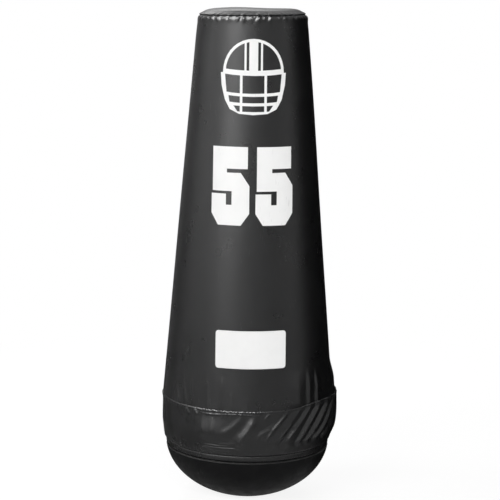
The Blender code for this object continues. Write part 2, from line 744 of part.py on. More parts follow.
def flat_plate(loops, thickness, levels):
    """A flat plate in the XY plane from closed outlines, the inner ones being its holes, cut in upright
    strips and along level lines so that it can follow a curved surface."""
    curve = bpy.data.curves.new("plate_outline", "CURVE")
    curve.dimensions = "2D"
    curve.fill_mode = "BOTH"
    curve.extrude = thickness / 2
    for loop in loops:
        spline = curve.splines.new("POLY")
        spline.points.add(len(loop) - 1)
        for point, (x, y) in zip(spline.points, loop):
            point.co = (x, y, 0.0, 1.0)
        spline.use_cyclic_u = True
    carrier = bpy.data.objects.new("plate_outline", curve)
    mesh = bpy.data.meshes.new_from_object(carrier)
    bm = bmesh.new()
    bm.from_mesh(mesh)
    bpy.data.objects.remove(carrier)
    bpy.data.meshes.remove(mesh)
    weld = FIT_GAP * WELD_SHARE
    bmesh.ops.remove_doubles(bm, verts=bm.verts, dist=weld)
    left = min(x for loop in loops for x, _ in loop)
    right = max(x for loop in loops for x, _ in loop)
    count = math.ceil((right - left) / PRINT_STRIP)
    cuts = [(Vector((1, 0, 0)), left + (right - left) * i / count) for i in range(1, count)]
    cuts += [(Vector((0, 1, 0)), level) for level in levels]
    for normal, place in cuts:
        everything = list(bm.verts) + list(bm.edges) + list(bm.faces)
        bmesh.ops.bisect_plane(bm, geom=everything, dist=weld, plane_co=normal * place, plane_no=normal)
    bm.normal_update()
    inner = [edge for edge in bm.edges if is_flat(edge) and not any(lies_on(edge, cut) for cut in cuts)]
    bmesh.ops.dissolve_edges(bm, edges=inner, use_verts=False)
    spare = [vertex for vertex in bm.verts if len(vertex.link_edges) == 2]
    bmesh.ops.dissolve_verts(bm, verts=spare)
    return bm


def is_flat(edge):
    """True for an edge between two faces that both lie in the plate's plane."""
    return len(edge.link_faces) == 2 and all(abs(face.normal.z) > 0.5 for face in edge.link_faces)


def lies_on(edge, cut):
    """True for an edge that runs along a cut, given as its normal and its distance from the middle."""
    normal, place = cut
    return all(abs(vertex.co.dot(normal) - place) < FIT_GAP * STRIP_SLACK_SHARE for vertex in edge.verts)


def wrapped_plate(name, loops, centre, thickness, material):
    """Lays a flat plate round the cover's front, its middle at a height, standing a clearance proud."""
    heights = [y for loop in loops for _, y in loop]
    rows = [height - centre for height in shoulder_heights()]
    bm = flat_plate(loops, thickness, [row for row in rows if min(heights) < row < max(heights)])
    for vertex in bm.verts:
        height = centre + vertex.co.y
        surface = cover_radius(height)
        radius = surface + PRINT_GAP + thickness / 2 + vertex.co.z
        angle = vertex.co.x / surface
        vertex.co = (radius * math.sin(angle), -radius * math.cos(angle), height)
    return add_object(name, bm, material, smooth=False)


def arc_points(centre, radius, start, end, steps):
    """Points of a circle's arc; angles in degrees, counted from +X towards +Y."""
    points = []
    for i in range(steps + 1):
        angle = math.radians(start + (end - start) * i / steps)
        points.append((centre[0] + radius * math.cos(angle), centre[1] + radius * math.sin(angle)))
    return points


def emblem_place(across, up):
    """A point given in shares of the emblem's half width and height, in metres from its middle."""
    return (across * EMBLEM_WIDTH / 2, up * EMBLEM_HEIGHT)


def dome_height(across, inset):
    """Height share of the helmet's dome over a place across it: the top half of an ellipse."""
    half = EMBLEM_DOME_SHARE - inset
    low = EMBLEM_JAW_SHARES[0][1]
    rise = 0.5 - low - inset * EMBLEM_WIDTH / 2 / EMBLEM_HEIGHT
    return low + rise * math.sqrt(max(0.0, 1 - (across / half) ** 2))


def jaw_width(up, inset):
    """Half-width share of the jaw's outline at a height share, drawn in by an inset."""
    points = [(height, across) for across, height in EMBLEM_JAW_SHARES]
    for (z1, x1), (z0, x0) in zip(points, points[1:]):
        if z0 <= up <= z1:
            return x0 + (x1 - x0) * (up - z0) / (z1 - z0) - inset
    return points[0][1] - inset


def bar_sag(across):
    """How far the cage's bars dip at a place across them, as a height share."""
    return -EMBLEM_SAG_SHARE * (1 - across ** 2)


def emblem_window(left, right, low, high):
    """A hole between two sides, each a function of height, and two bars, each a function of place across."""
    middle = (low(0.0) + high(0.0)) / 2
    x0, x1 = left(middle), right(middle)
    steps = EMBLEM_WINDOW_STEPS
    bottom = [x0 + (x1 - x0) * i / steps for i in range(steps + 1)]
    points = [(min(max(x, left(low(x))), right(low(x))), low(x)) for x in bottom]
    points += [(min(max(x, left(high(x))), right(high(x))), high(x)) for x in reversed(bottom)]
    return [emblem_place(x, z) for x, z in points]


def emblem_loops():
    """Outline of the helmet emblem and its holes: two dome fields, two pairs of stripe gaps and the cage."""
    band = EMBLEM_BAND_SHARE
    outer = []
    for i in range(2 * EMBLEM_STEPS + 1):
        across = EMBLEM_DOME_SHARE * math.cos(math.pi * i / (2 * EMBLEM_STEPS))
        outer.append(emblem_place(across, dome_height(across, 0.0)))
    outer += [emblem_place(-x, z) for x, z in EMBLEM_JAW_SHARES]
    outer += [emblem_place(x, z) for x, z in reversed(EMBLEM_JAW_SHARES[:-1])]
    loops = [outer]

    def brow_top(across):
        return EMBLEM_BROW_HEIGHT_SHARE + EMBLEM_BROW_SHARE / 2 + bar_sag(across)

    inner_stripe, gap_stripe, outer_stripe = EMBLEM_STRIPE_SHARES
    for side in (-1, 1):
        field = []
        reach = (EMBLEM_DOME_SHARE - band) * EMBLEM_FIELD_SHARE
        for i in range(EMBLEM_STEPS + 1):
            across = outer_stripe + (reach - outer_stripe) * math.sin(math.pi / 2 * i / EMBLEM_STEPS)
            height = max(dome_height(across, band), brow_top(across) + EMBLEM_LEDGE_SHARE)
            field.append((side * across, height))
        field += [(side * x, brow_top(x)) for x in (reach, (reach + outer_stripe) / 2, outer_stripe)]
        loops.append([emblem_place(x, z) for x, z in field])
        gap = [(inner_stripe, dome_height(inner_stripe, band)), (gap_stripe, dome_height(gap_stripe, band))]
        gap += [(gap_stripe, brow_top(gap_stripe)), (inner_stripe, brow_top(inner_stripe))]
        loops.append([emblem_place(side * x, z) for x, z in gap])
    loops += cage_windows()
    return loops


def cage_windows():
    """The cage's windows: three across for the eyes and for each gap between the mouth bars."""
    rows = [(EMBLEM_EYE_SHARE, EMBLEM_BROW_HEIGHT_SHARE - EMBLEM_BROW_SHARE)]
    upper = EMBLEM_EYE_SHARE - EMBLEM_BAR_SHARE
    for lower in EMBLEM_MOUTH_SHARES:
        rows.append((lower, upper))
        upper = lower - EMBLEM_BAR_SHARE
    half_post = EMBLEM_POST_WIDTH_SHARE / 2
    left_post, right_post = EMBLEM_POST_SHARES
    inset = EMBLEM_JAW_BAND_SHARE
    columns = (
        (lambda z: -jaw_width(z, inset), lambda z: left_post - half_post),
        (lambda z: left_post + half_post, lambda z: right_post - half_post),
        (lambda z: right_post + half_post, lambda z: jaw_width(z, inset)),
    )
    windows = []
    for low, high in rows:
        bars = (lambda x: low + bar_sag(x), lambda x: high + bar_sag(x))
        windows += [emblem_window(*sides, *bars) for sides in columns]
    return windows


def build_prints(white):
    """Helmet emblem, the two figures and the bare label patch on the front."""
    span = top_seam - skirt_top
    emblem_centre = skirt_top + span * EMBLEM_PLACE_SHARE
    wrapped_plate("helmet_emblem", emblem_loops(), emblem_centre, PRINT_THICKNESS, white)
    number_centre = skirt_top + span * NUMBER_PLACE_SHARE
    offset = (NUMBER_WIDTH + NUMBER_SPACING) / 2
    for name, middle in (("number_left", -offset), ("number_right", offset)):
        outline = [
            (middle + (x - 0.5) * NUMBER_WIDTH, (0.5 - y) * NUMBER_HEIGHT)
            for x, y in FIVE_SHARES
        ]
        wrapped_plate(name, [outline], number_centre, PRINT_THICKNESS, white)
    half_width, half_height = LABEL_WIDTH / 2 - LABEL_CORNER, LABEL_HEIGHT / 2 - LABEL_CORNER
    patch = []
    corners = ((half_width, half_height, 0), (-half_width, half_height, 90),
               (-half_width, -half_height, 180), (half_width, -half_height, 270))
    for x, y, start in corners:
        patch += arc_points((x, y), LABEL_CORNER, start, start + 90, CORNER_STEPS)
    label_centre = skirt_top + span * LABEL_PLACE_SHARE
    wrapped_plate("label_patch", [patch], label_centre, LABEL_THICKNESS, white)


def back_place(height):
    """Frame on the cover's back at a height: X across, Y out of the surface, Z up along the zip."""
    out = Vector((0.0, math.cos(back_angle), math.sin(back_angle)))
    up = Vector((0.0, -math.sin(back_angle), math.cos(back_angle)))
    turn = Matrix((Vector((1.0, 0.0, 0.0)), out, up)).transposed().to_4x4()
    return Matrix.Translation((0.0, cone_radius(height) * face_share, height)) @ turn


def zip_length():
    """Length of the zip's chain along the slanting back."""
    return (zip_top - zip_bottom) / math.cos(back_angle)


def build_zip(vinyl, plastic, steel):
    """Zip tapes, chain and stops in the cover's slot."""
    foot = back_place(zip_bottom)
    length = zip_length()
    half_chain = CHAIN_WIDTH / 2
    tape_front = -TAPE_RECESS
    tape_back = tape_front - TAPE_THICKNESS
    for name, side in (("zip_tape_left", -1), ("zip_tape_right", 1)):
        near = side * (half_chain + FIT_GAP)
        far = near + side * TAPE_WIDTH
        outline = box_outline(min(near, far), max(near, far), tape_back, tape_front)
        extruded(name, outline, -STOP_LENGTH, length + STOP_LENGTH, vinyl, foot)
    chain = box_outline(-half_chain, half_chain, CHAIN_PROUD - CHAIN_THICKNESS, CHAIN_PROUD)
    extruded("zip_chain", chain, 0.0, length, plastic, foot)
    stop_back = tape_front + FIT_GAP
    stop = box_outline(-STOP_WIDTH / 2, STOP_WIDTH / 2, stop_back, stop_back + STOP_HEIGHT)
    extruded("zip_stop_bottom", stop, -STOP_LENGTH, -FIT_GAP, steel, foot)
    extruded("zip_stop_top", stop, length + FIT_GAP, length + STOP_LENGTH, steel, foot)


def build_slider(steel):
    """Zip slider as a saddle over the closed chain, with two lugs and the pin for its pull."""
    foot = back_place(zip_bottom)
    low = FIT_GAP
    high = low + SLIDER_LENGTH
    half = SLIDER_WIDTH / 2
    inner = CHAIN_WIDTH / 2 + FIT_GAP
    flange_foot = FIT_GAP - TAPE_RECESS
    plate_bottom = CHAIN_PROUD + FIT_GAP
    plate_top = plate_bottom + SLIDER_PLATE
    saddle = (
        (-half, flange_foot), (-inner, flange_foot), (-inner, plate_bottom), (inner, plate_bottom),
        (inner, flange_foot), (half, flange_foot), (half, plate_top), (-half, plate_top),
    )
    slider = extruded("zip_slider", saddle, low, high, steel, foot)
    middle = (low + high) / 2
    lug_near = EYE_WIDTH / 2 + FIT_GAP
    lug_root = plate_top - SLIDER_PLATE / 2
    lug_top = plate_top + PIN_LIFT + PIN_RADIUS + EYE_WALL
    for name, side in (("lug_tool_left", -1), ("lug_tool_right", 1)):
        far = side * (lug_near + LUG_WIDTH)
        outline = box_outline(min(side * lug_near, far), max(side * lug_near, far), lug_root, lug_top)
        lug = extruded(name, outline, middle - LUG_LENGTH / 2, middle + LUG_LENGTH / 2, steel, foot)
        apply_boolean(slider, hide_as_cutter(lug), "UNION")
    reach = lug_near + LUG_WIDTH / 2
    pin = across_bar("pin_tool", PIN_RADIUS, reach, pin_matrix(), steel)
    apply_boolean(slider, hide_as_cutter(pin), "UNION")


def pin_matrix():
    """Frame on the slider's pin: X along the pin, Y out of the cover, Z up along the zip."""
    lift = CHAIN_PROUD + FIT_GAP + SLIDER_PLATE + PIN_LIFT
    middle = FIT_GAP + SLIDER_LENGTH / 2
    return back_place(zip_bottom) @ Matrix.Translation((0.0, lift, middle))


def across_bar(name, radius, reach, matrix, material, sides=PULL_SIDES):
    """A round bar along X, from -reach to +reach."""
    profile = [(0.0, -reach), (radius, -reach), (radius, reach), (0.0, reach)]
    lie = matrix @ Matrix.Rotation(math.pi / 2, 4, "Y")
    bm = turned_mesh(profile, sides, None, lie)
    return add_object(name, bm, material)


def build_pull(steel):
    """Zip pull: an eye round the slider's pin and a tab that hangs from it; its origin is on the pin."""
    place = pin_matrix()
    bore = PIN_RADIUS + FIT_GAP
    eye_radius = bore + EYE_WALL
    half_eye = EYE_WIDTH / 2
    eye = across_bar("zip_pull", eye_radius, half_eye, Matrix.Identity(4), steel)
    neck_end = -PULL_NECK
    tip = -PULL_LENGTH
    half_pull = PULL_WIDTH / 2
    round_centre = tip + half_pull
    half_neck = PULL_NECK_WIDTH / 2
    outline = [(-half_neck, 0.0), (-half_neck, neck_end), (-half_pull, neck_end - half_pull / 2)]
    outline += arc_points((0.0, round_centre), half_pull, 180, 360, PULL_TIP_STEPS)
    outline += [(half_pull, neck_end - half_pull / 2), (half_neck, neck_end), (half_neck, 0.0)]
    upright = Matrix.Rotation(math.pi / 2, 4, "X")
    tab = extruded("pull_tab_tool", outline, -PULL_THICKNESS / 2, PULL_THICKNESS / 2, steel, upright)
    apply_boolean(eye, hide_as_cutter(tab), "UNION")
    bore_cutter = across_bar("eye_bore_cutter", bore, half_eye + CUT_OVERRUN, Matrix.Identity(4), steel)
    apply_boolean(eye, hide_as_cutter(bore_cutter), "DIFFERENCE")
    for thing in (eye, tab, bore_cutter):
        thing.matrix_world = place


def main():
    """Builds the whole dummy."""
    clear_scene()
    vinyl = make_material("black_vinyl", (0.035, 0.035, 0.037), 0.42)
    skirt_vinyl = make_material("skirt_vinyl", (0.030, 0.030, 0.032), 0.36)
    white = make_material("white_print", (0.86, 0.86, 0.86), 0.5)
    bowl_rubber = make_material("bowl_rubber", (0.014, 0.014, 0.015), 0.34)
    iron = make_material("cast_iron", (0.10, 0.10, 0.105), 0.62, 0.9)
    steel = make_material("zinc_steel", (0.55, 0.55, 0.56), 0.35, 1.0)
    wood = make_material("plywood", (0.55, 0.38, 0.22), 0.7)
    foam = make_material("grey_foam", (0.33, 0.34, 0.36), 0.95)
    firm_foam = make_material("firm_foam", (0.62, 0.60, 0.52), 0.95)
    cord_material = make_material("braided_cord", (0.05, 0.05, 0.05), 0.8)
    plastic = make_material("zip_plastic", (0.02, 0.02, 0.02), 0.4)
    screw_holes = screw_cutter(steel)
    build_bowl(bowl_rubber, screw_holes)
    build_ballast(iron, bowl_rubber)
    build_bolt(steel)
    build_deck(wood, steel, screw_holes)
    build_foam(foam, firm_foam)
    build_cover(vinyl)
    build_skirt(skirt_vinyl)
    build_hem(skirt_vinyl, cord_material, steel)
    build_prints(white)
    build_zip(vinyl, plastic, steel)
    build_slider(steel)
    build_pull(steel)


main()
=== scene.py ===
"""Looks of the pop-up tackling dummy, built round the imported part: sewn vinyl cover and skirt, drawstring
hem, rubber bowl, printed figures, label patch, zip, and the foam, plywood and iron inside."""

import math
from math import pi, radians

import bmesh
import bpy
import numpy as np
from mathutils import Matrix, Vector


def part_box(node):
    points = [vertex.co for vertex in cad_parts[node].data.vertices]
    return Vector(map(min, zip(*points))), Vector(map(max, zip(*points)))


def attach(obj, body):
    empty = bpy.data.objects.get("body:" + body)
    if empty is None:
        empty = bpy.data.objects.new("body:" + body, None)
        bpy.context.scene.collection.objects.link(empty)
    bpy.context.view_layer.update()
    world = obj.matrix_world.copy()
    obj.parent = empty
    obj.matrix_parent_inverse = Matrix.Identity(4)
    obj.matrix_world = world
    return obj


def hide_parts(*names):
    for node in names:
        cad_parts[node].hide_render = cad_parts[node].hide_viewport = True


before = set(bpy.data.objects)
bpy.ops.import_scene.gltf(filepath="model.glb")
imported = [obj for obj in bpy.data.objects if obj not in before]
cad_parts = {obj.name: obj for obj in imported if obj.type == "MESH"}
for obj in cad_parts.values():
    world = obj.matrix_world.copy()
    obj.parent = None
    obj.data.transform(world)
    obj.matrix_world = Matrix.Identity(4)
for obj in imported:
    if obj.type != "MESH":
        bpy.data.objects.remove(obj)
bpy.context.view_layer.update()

# Bowl, in metres
FOOT_RADIUS = 0.090
BOWL_RADIUS = 0.289
BOWL_DEPTH = 0.210
BOWL_WALL = 0.012
EQUATOR = 0.19956
LIP_TOP = 0.17596
LIP_ROUNDING = 0.003
GROOVE_RADIUS = 0.2745
GROOVE_TOP = 0.20996
RIM_TOP = 0.26296
RIM_RADIUS = 0.2885
RIM_INNER = 0.262
LEDGE_TOP = 0.18896
LEDGE_INNER = 0.248
LEDGE_UNDER = 0.16696
TAPER_BOTTOM = 0.14696
TAPER_RADIUS = BOWL_RADIUS - 0.0174
FLOOR_TOP = 0.0261
RECESS_TOP = 0.0161
RECESS_RADIUS = 0.0303
BOLT_HOLE = 0.0085
FOOT_ROUNDING = 0.0008

# Cover and top panel
COVER_BOTTOM = 0.35106
SKIRT_TOP = 0.36106
SHOULDER = 1.600
TOP_SEAM = 1.683
SOLID_SEAM = 1.680
COVER_SEAM_RADIUS = 0.2995
CONE_SLOPE = 0.105 / (SHOULDER - SKIRT_TOP)
SHOULDER_DRAW = 0.0018
SOLID_DRAW = 0.0053
VINYL_THICKNESS = 0.002
TOP_EDGE = 0.004
TOP_CROWN = 0.0195
CROWN_POWER = 8.0
TOP_CURL = 0.0046
TOP_CURL_HEIGHT = 0.017
TOP_LEAN = 0.0125
SHOULDER_SWELL = 0.0028
SHOULDER_SWELL_HEIGHT = 1.36
FACE_SHARE = math.cos(pi / 48)
SEAM_GAP = 0.0003

# Skirt and hem
HEM_HEIGHT = 0.20106
HEM_RADIUS = 0.2906
SKIRT_RADIUS = 0.30505
SKIRT_LENGTH = SKIRT_TOP - HEM_HEIGHT
SKIRT_BULGE = 0.0017
EDGE_BEAD = 0.0011
HEM_TUCK = 0.0023
HEM_TUCK_HEIGHT = 0.0045
FLANGE_CLEAR_RADIUS = 0.3000
SEAM_RISE = 0.0125
PLEAT_SINK = 0.0034
RIGHT_BULGE = 0.0105
LEFT_HOLLOW = 0.0045
CASING_RADIUS = 0.281
CASING_HEIGHT = 0.19096
CASING_DEPTH = 0.0124
CASING_TALL = 0.0196
CASING_WALL = 0.0012
CORD_RADIUS = 0.0025

# Zip in the back
ZIP_BOTTOM = 0.42106
ZIP_TOP = 1.580
STOP_LENGTH = 0.006
CHAIN_WIDTH = 0.0054
CHAIN_PROUD = 0.0006
CHAIN_THICKNESS = 0.0025
TAPE_WIDTH = 0.0118
TAPE_THICKNESS = 0.0012
TAPE_RECESS = 0.0005
HALF_SLOT = TAPE_WIDTH + CHAIN_WIDTH / 2 + 2 * SEAM_GAP
BACK_ANGLE = math.atan(CONE_SLOPE * FACE_SHARE)
ZIP_LENGTH = (ZIP_TOP - ZIP_BOTTOM) / math.cos(BACK_ANGLE)
TOOTH_PITCH = 0.003

# Prints and label
PRINT_THICKNESS = 0.0006
LABEL_THICKNESS = 0.0012
LABEL_WIDTH = 0.249
LABEL_HEIGHT = 0.130
LABEL_PLACE = 0.158
LABEL_MARGIN = 0.005

# Foam inside
DECK_TOP = 0.20726 + SEAM_GAP
NUT_ROOM_HEIGHT = 0.034
NUT_ROOM_RADIUS = 0.030
BASE_FOAM_TOP = 0.33076
FOAM_FLANGE_RADIUS = 0.29755
FOAM_WALL = 0.018
FOAM_SINK = VINYL_THICKNESS + 0.0005
COLUMN_RADIUS = 0.032
CAP_CROWN = 0.018

# Stitches: those of the seams, and the finer ones of the label and the zip
STITCH_PITCH = 0.0046
STITCH_LENGTH = 0.0036
THREAD_THICKNESS = 0.0008
FINE_STITCH_LENGTH = 0.0034
FINE_THREAD_THICKNESS = 0.0007

# Where the rows of the cover and the skirt change their spacing
CREASES_TOP = 0.52
GATHERS_BOTTOM = 1.640
COVER_EDGE_ROWS = 0.006
WRINKLES_TOP = 0.246
HEM_ROWS = 0.006
SKIRT_EDGE_ROWS = 0.018

# Columns round the axis, and how many times coarser the inside of a wall is
COVER_COLUMNS = 480
TOP_COLUMNS = 480
SKIRT_COLUMNS = 640
COARSER = 4


# Shapes on rings

def around(angle, radius, height):
    """Points round the upright axis: x = radius sin(angle), y = -radius cos(angle)."""
    angle, radius, height = np.broadcast_arrays(angle, radius, height)
    return np.stack((radius * np.sin(angle), -radius * np.cos(angle), height), axis=-1)


def pole(height):
    """A single point on the axis."""
    return np.array([[0.0, 0.0, height]])


def full_turn(count):
    """Angles of a closed ring's columns, from the back through the front."""
    return -pi + 2 * pi * np.arange(count) / count


def stack_faces(counts, closed=False):
    """Faces between rings stacked one after another, given how many points each has. Rings of one size
    join by quads, a ring joins one k times coarser by a fan of k + 2 corners, a single point is a pole,
    and nothing lies between two poles."""
    starts = np.concatenate(([0], np.cumsum(counts)))
    blocks = []
    pairs = list(zip(range(len(counts) - 1), range(1, len(counts))))
    if closed:
        pairs.append((len(counts) - 1, 0))
    for low, high in pairs:
        n, m = counts[low], counts[high]
        a, b = starts[low], starts[high]
        if n == m == 1:
            continue
        if m == 1:
            j = np.arange(n)
            blocks.append(np.stack((a + j, a + (j + 1) % n, np.full(n, b)), axis=1))
        elif n == 1:
            j = np.arange(m)
            blocks.append(np.stack((np.full(m, a), b + (j + 1) % m, b + j), axis=1))
        else:
            few = min(n, m)
            q = np.arange(few)
            lower = [a + (q * (n // few) + s) % n for s in range(n // few + 1)]
            upper = [b + (q * (m // few) + s) % m for s in range(m // few, -1, -1)]
            blocks.append(np.stack(lower + upper, axis=1))
    return blocks


def stack_rings(rings, closed=False):
    """Points and faces of a stack of rings."""
    rings = [np.asarray(ring, float).reshape(-1, 3) for ring in rings]
    return np.concatenate(rings), stack_faces([len(ring) for ring in rings], closed)


def turned(profile, columns, closed=True):
    """A profile of (radius, height) points turned round the axis; a point on the axis becomes a pole."""
    angles = full_turn(columns)
    rings = [pole(height) if radius < 1e-9 else around(angles, radius, height) for radius, height in profile]
    return stack_rings(rings, closed)


def rounded(profile, radius, steps=4, closed=True):
    """Replaces each corner of a profile by an arc-like curve that starts a radius, or a third of the
    side, before it: a quadratic curve through the corner's own two sides."""
    points = [np.array(point, float) for point in profile]
    made = []
    for i, corner in enumerate(points):
        if not closed and i in (0, len(points) - 1):
            made.append(corner)
            continue
        sides = points[i - 1] - corner, points[(i + 1) % len(points)] - corner
        start, end = (
            corner + side / np.linalg.norm(side) * min(radius, np.linalg.norm(side) / 3) for side in sides)
        for t in np.linspace(0, 1, steps + 1):
            made.append((1 - t) ** 2 * start + 2 * t * (1 - t) * corner + t ** 2 * end)
    return made


def new_object(name, points, blocks, finish):
    """A mesh object at the origin, made of points and blocks of faces, in one finish."""
    mesh = bpy.data.meshes.new(name)
    listed = [face for block in blocks for face in np.asarray(block).tolist()]
    mesh.from_pydata(np.asarray(points, float).reshape(-1, 3).tolist(), [], listed)
    mesh.materials.append(finish)
    made = bpy.data.objects.new(name, mesh)
    bpy.context.scene.collection.objects.link(made)
    return made


def smooth_off(mesh, sharp):
    """Shades a mesh smooth but for the edges sharper than an angle in degrees."""
    mesh.shade_smooth()
    mesh.set_sharp_from_angle(angle=radians(sharp))


def add_piece(name, points, faces, finish, body="dummy", slot=None, replaces=(), sharp=40.0):
    """A mesh piece that rides on a body of the frame."""
    piece = new_object(name, points, faces, finish)
    smooth_off(piece.data, sharp)
    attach(piece, body)
    if replaces:
        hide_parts(*replaces)
    return piece


# The folds of the vinyl

def bell(distance, width):
    """A smooth hump: exp(-(distance / width) squared)."""
    return np.exp(-(distance / width) ** 2)


def smooth_step(value, low, high):
    """Goes smoothly from 0 at low to 1 at high."""
    share = np.clip((value - low) / (high - low), 0.0, 1.0)
    return share * share * (3 - 2 * share)


def step_round(angle, low, high):
    """Goes smoothly from 0 to 1 between two angles in degrees."""
    return smooth_step(angle, radians(low), radians(high))


def wrapped_difference(angle, centre):
    """Difference of two angles, between minus and plus half a turn."""
    return (angle - centre + pi) % (2 * pi) - pi


def bell_round(angle, centre, width):
    """A smooth hump round the axis, its centre and width in degrees."""
    return bell(wrapped_difference(angle, radians(centre)), radians(width))


def fold_line(angle, height, places, width, lift, tail=0.25):
    """A fold along a line of (degrees, metres) places on the surface laid flat at the skirt's radius: lift
    times a bell of the distance to the line, dying out over a tail at both of its ends."""
    across = angle * SKIRT_RADIUS
    line = [(radians(a) * SKIRT_RADIUS, z) for a, z in places]
    lengths = [math.hypot(b[0] - a[0], b[1] - a[1]) for a, b in zip(line, line[1:])]
    total, walked = sum(lengths), 0.0
    nearest = np.full(np.broadcast(across, height).shape, 1e9)
    share = np.zeros_like(nearest)
    for (x0, z0), (x1, z1), length in zip(line, line[1:], lengths):
        t = ((across - x0) * (x1 - x0) + (height - z0) * (z1 - z0)) / length ** 2
        t = np.clip(t, 0.0, 1.0)
        distance = np.hypot(across - x0 - t * (x1 - x0), height - z0 - t * (z1 - z0))
        closer = distance < nearest
        nearest = np.where(closer, distance, nearest)
        share = np.where(closer, (walked + t * length) / total, share)
        walked += length
    ends = smooth_step(share, -0.02, tail) * smooth_step(1 - share, -0.02, tail)
    return lift * bell(nearest, width) * ends


# Places in degrees from the front and metres above the floor, width and lift in metres
SKIRT_FOLDS = (
    (((2.9, .347), (1.7, .321), (-0.6, .299), (-4.5, .270), (-6.3, .245), (-7.8, .220)), 0.0125, 0.0090),
    (((-6.0, .346), (-7.8, .324), (-11.0, .306), (-15.8, .287), (-21.0, .276)), 0.0105, 0.0026),
    (((-6.5, .300), (-10.5, .276), (-14.0, .256)), 0.0100, -0.0018),
    (((25.9, .356), (21.7, .333), (17.0, .307), (13.0, .280), (9.9, .245)), 0.0050, 0.0046),
    (((16.2, .301), (10.5, .290), (6.5, .279), (4.2, .250)), 0.0050, 0.0023),
    (((18.0, .325), (9.5, .305), (3.5, .285)), 0.0060, -0.0014),
    (((12.8, .354), (9.2, .330)), 0.0042, 0.0026),
    (((28.6, .314), (24.6, .294), (21.2, .273), (18.2, .250)), 0.0042, 0.0036),
    (((31.0, .292), (27.6, .273), (24.6, .253)), 0.0042, 0.0028),
    (((-46.0, .356), (-42.4, .330)), 0.0050, 0.0026),
    (((-38.3, .356), (-35.7, .335)), 0.0050, 0.0026),
    (((-51.5, .357), (-49.3, .318)), 0.0050, 0.0012),
    (((-36.0, .2305), (-21.0, .2290), (-5.0, .2300)), 0.0030, 0.0026),
    (((-33.0, .2375), (-24.0, .2365), (-10.0, .2385)), 0.0032, 0.0020),
    (((-30.0, .2240), (-18.0, .2230), (-9.0, .2235)), 0.0028, 0.0024),
    (((-22.0, .2450), (-9.0, .2460)), 0.0032, 0.0016),
    (((48.6, .285), (47.0, .262), (45.5, .232)), 0.0045, -0.0028),
    (((57.5, .275), (57.0, .255), (56.0, .230)), 0.0050, -0.0030),
    (((66.0, .280), (65.0, .255), (62.0, .232)), 0.0055, -0.0026),
    (((118.0, .352), (109.0, .300), (104.0, .256)), 0.0070, 0.0029),
    (((141.0, .350), (137.0, .292), (131.0, .250)), 0.0080, 0.0026),
    (((-80.0, .352), (-76.0, .300), (-78.0, .252)), 0.0080, 0.0026),
    (((-98.0, .355), (-104.0, .310), (-107.0, .262)), 0.0060, 0.0023),
    (((-122.0, .350), (-126.0, .296), (-133.0, .250)), 0.0080, 0.0029),
    (((-150.0, .345), (-151.0, .300), (-146.0, .255)), 0.0075, 0.0022),
    (((164.0, .350), (166.0, .300), (161.0, .250)), 0.0075, 0.0022),
)
COVER_FOLDS = (
    (((-61.0, .420), (-61.5, .352)), 0.0050, 0.0010),
    (((-60.4, .440), (-55.0, .375), (-54.0, .352)), 0.0045, 0.0018),
    (((-51.2, .450), (-47.5, .378), (-46.5, .352)), 0.0045, 0.0018),
    (((-42.8, .460), (-41.5, .400), (-41.0, .352)), 0.0050, 0.0014),
    (((-30.0, .470), (-29.0, .352)), 0.0070, 0.0012),
    (((-19.3, .480), (-18.6, .352)), 0.0065, 0.0015),
    (((-12.1, .430), (-11.9, .352)), 0.0060, 0.0012),
    (((-2.5, .410), (-2.0, .352)), 0.0055, 0.0009),
    (((74.0, .500), (73.0, .352)), 0.0080, 0.0027),
    (((97.0, .520), (95.0, .352)), 0.0090, 0.0024),
    (((127.0, .500), (124.0, .352)), 0.0090, 0.0024),
    (((-84.0, .520), (-82.0, .352)), 0.0090, 0.0023),
    (((-112.0, .510), (-110.0, .352)), 0.0090, 0.0024),
    (((-141.0, .500), (-139.0, .352)), 0.0090, 0.0021),
)

# Pleats on the right: the bottoms of their valleys in degrees at each height, how far the vinyl rises
# between a valley and the next, and where on the way it is highest
PLEAT_HEIGHTS = (0.245, 0.270, 0.300, 0.330, 0.360)
SKIRT_VALLEYS = (
    (11.0, 14.5, 19.0, 24.2, 29.3), (20.0, 23.7, 28.3, 34.9, 39.5),
    (30.9, 33.9, 38.2, 43.0, 48.0), (37.5, 42.0, 47.3, 52.7, 58.3),
    (44.5, 51.5, 58.5, 63.8, 69.0), (56.0, 62.0, 68.0, 73.0, 78.0),
    (68.0, 74.0, 80.0, 84.5, 89.0), (82.0, 86.0, 91.0, 95.5, 100.0),
)
SKIRT_RISES = (0.0036, 0.0070, 0.0096, 0.0096, 0.0084, 0.0062, 0.0044)
SKIRT_CRESTS = (0.56, 0.42, 0.40, 0.40, 0.40, 0.42, 0.44)
COVER_PLEAT_HEIGHTS = (0.360, 0.420, 0.480)
COVER_VALLEYS = ((14.0, 14.0, 14.0), (40.2, 40.9, 41.7), (48.6, 49.3, 50.2), (57.0, 57.5, 58.0))
COVER_RISES = (0.0068, 0.0064, 0.0058)
COVER_CRESTS = (0.74, 0.24, 0.22)
CREST_ROUNDING = 0.07


def pleated(angle, height, heights, valleys, rises, crests):
    """Pleats between valley lines: at each height the surface rises from a valley's bottom to a crest at a
    share of the way to the next valley and falls again, straight both ways but for a rounded crest."""
    lines = [np.interp(height, heights, np.radians(line)) for line in valleys]
    total = np.zeros(np.broadcast(angle, height).shape)
    for start, end, rise, crest in zip(lines, lines[1:], rises, crests):
        share = np.clip((angle - start) / (end - start), 0.0, 1.0)
        up, down = share / crest, (1.0 - share) / (1.0 - crest)
        total += rise * -CREST_ROUNDING * np.logaddexp(-up / CREST_ROUNDING, -down / CREST_ROUNDING)
    return total


def folded(angle, height, folds):
    """Sum of a table's fold lines over a surface."""
    total = np.zeros(np.broadcast(angle, height).shape)
    for places, width, lift in folds:
        total += fold_line(angle, height, places, width, lift)
    return total


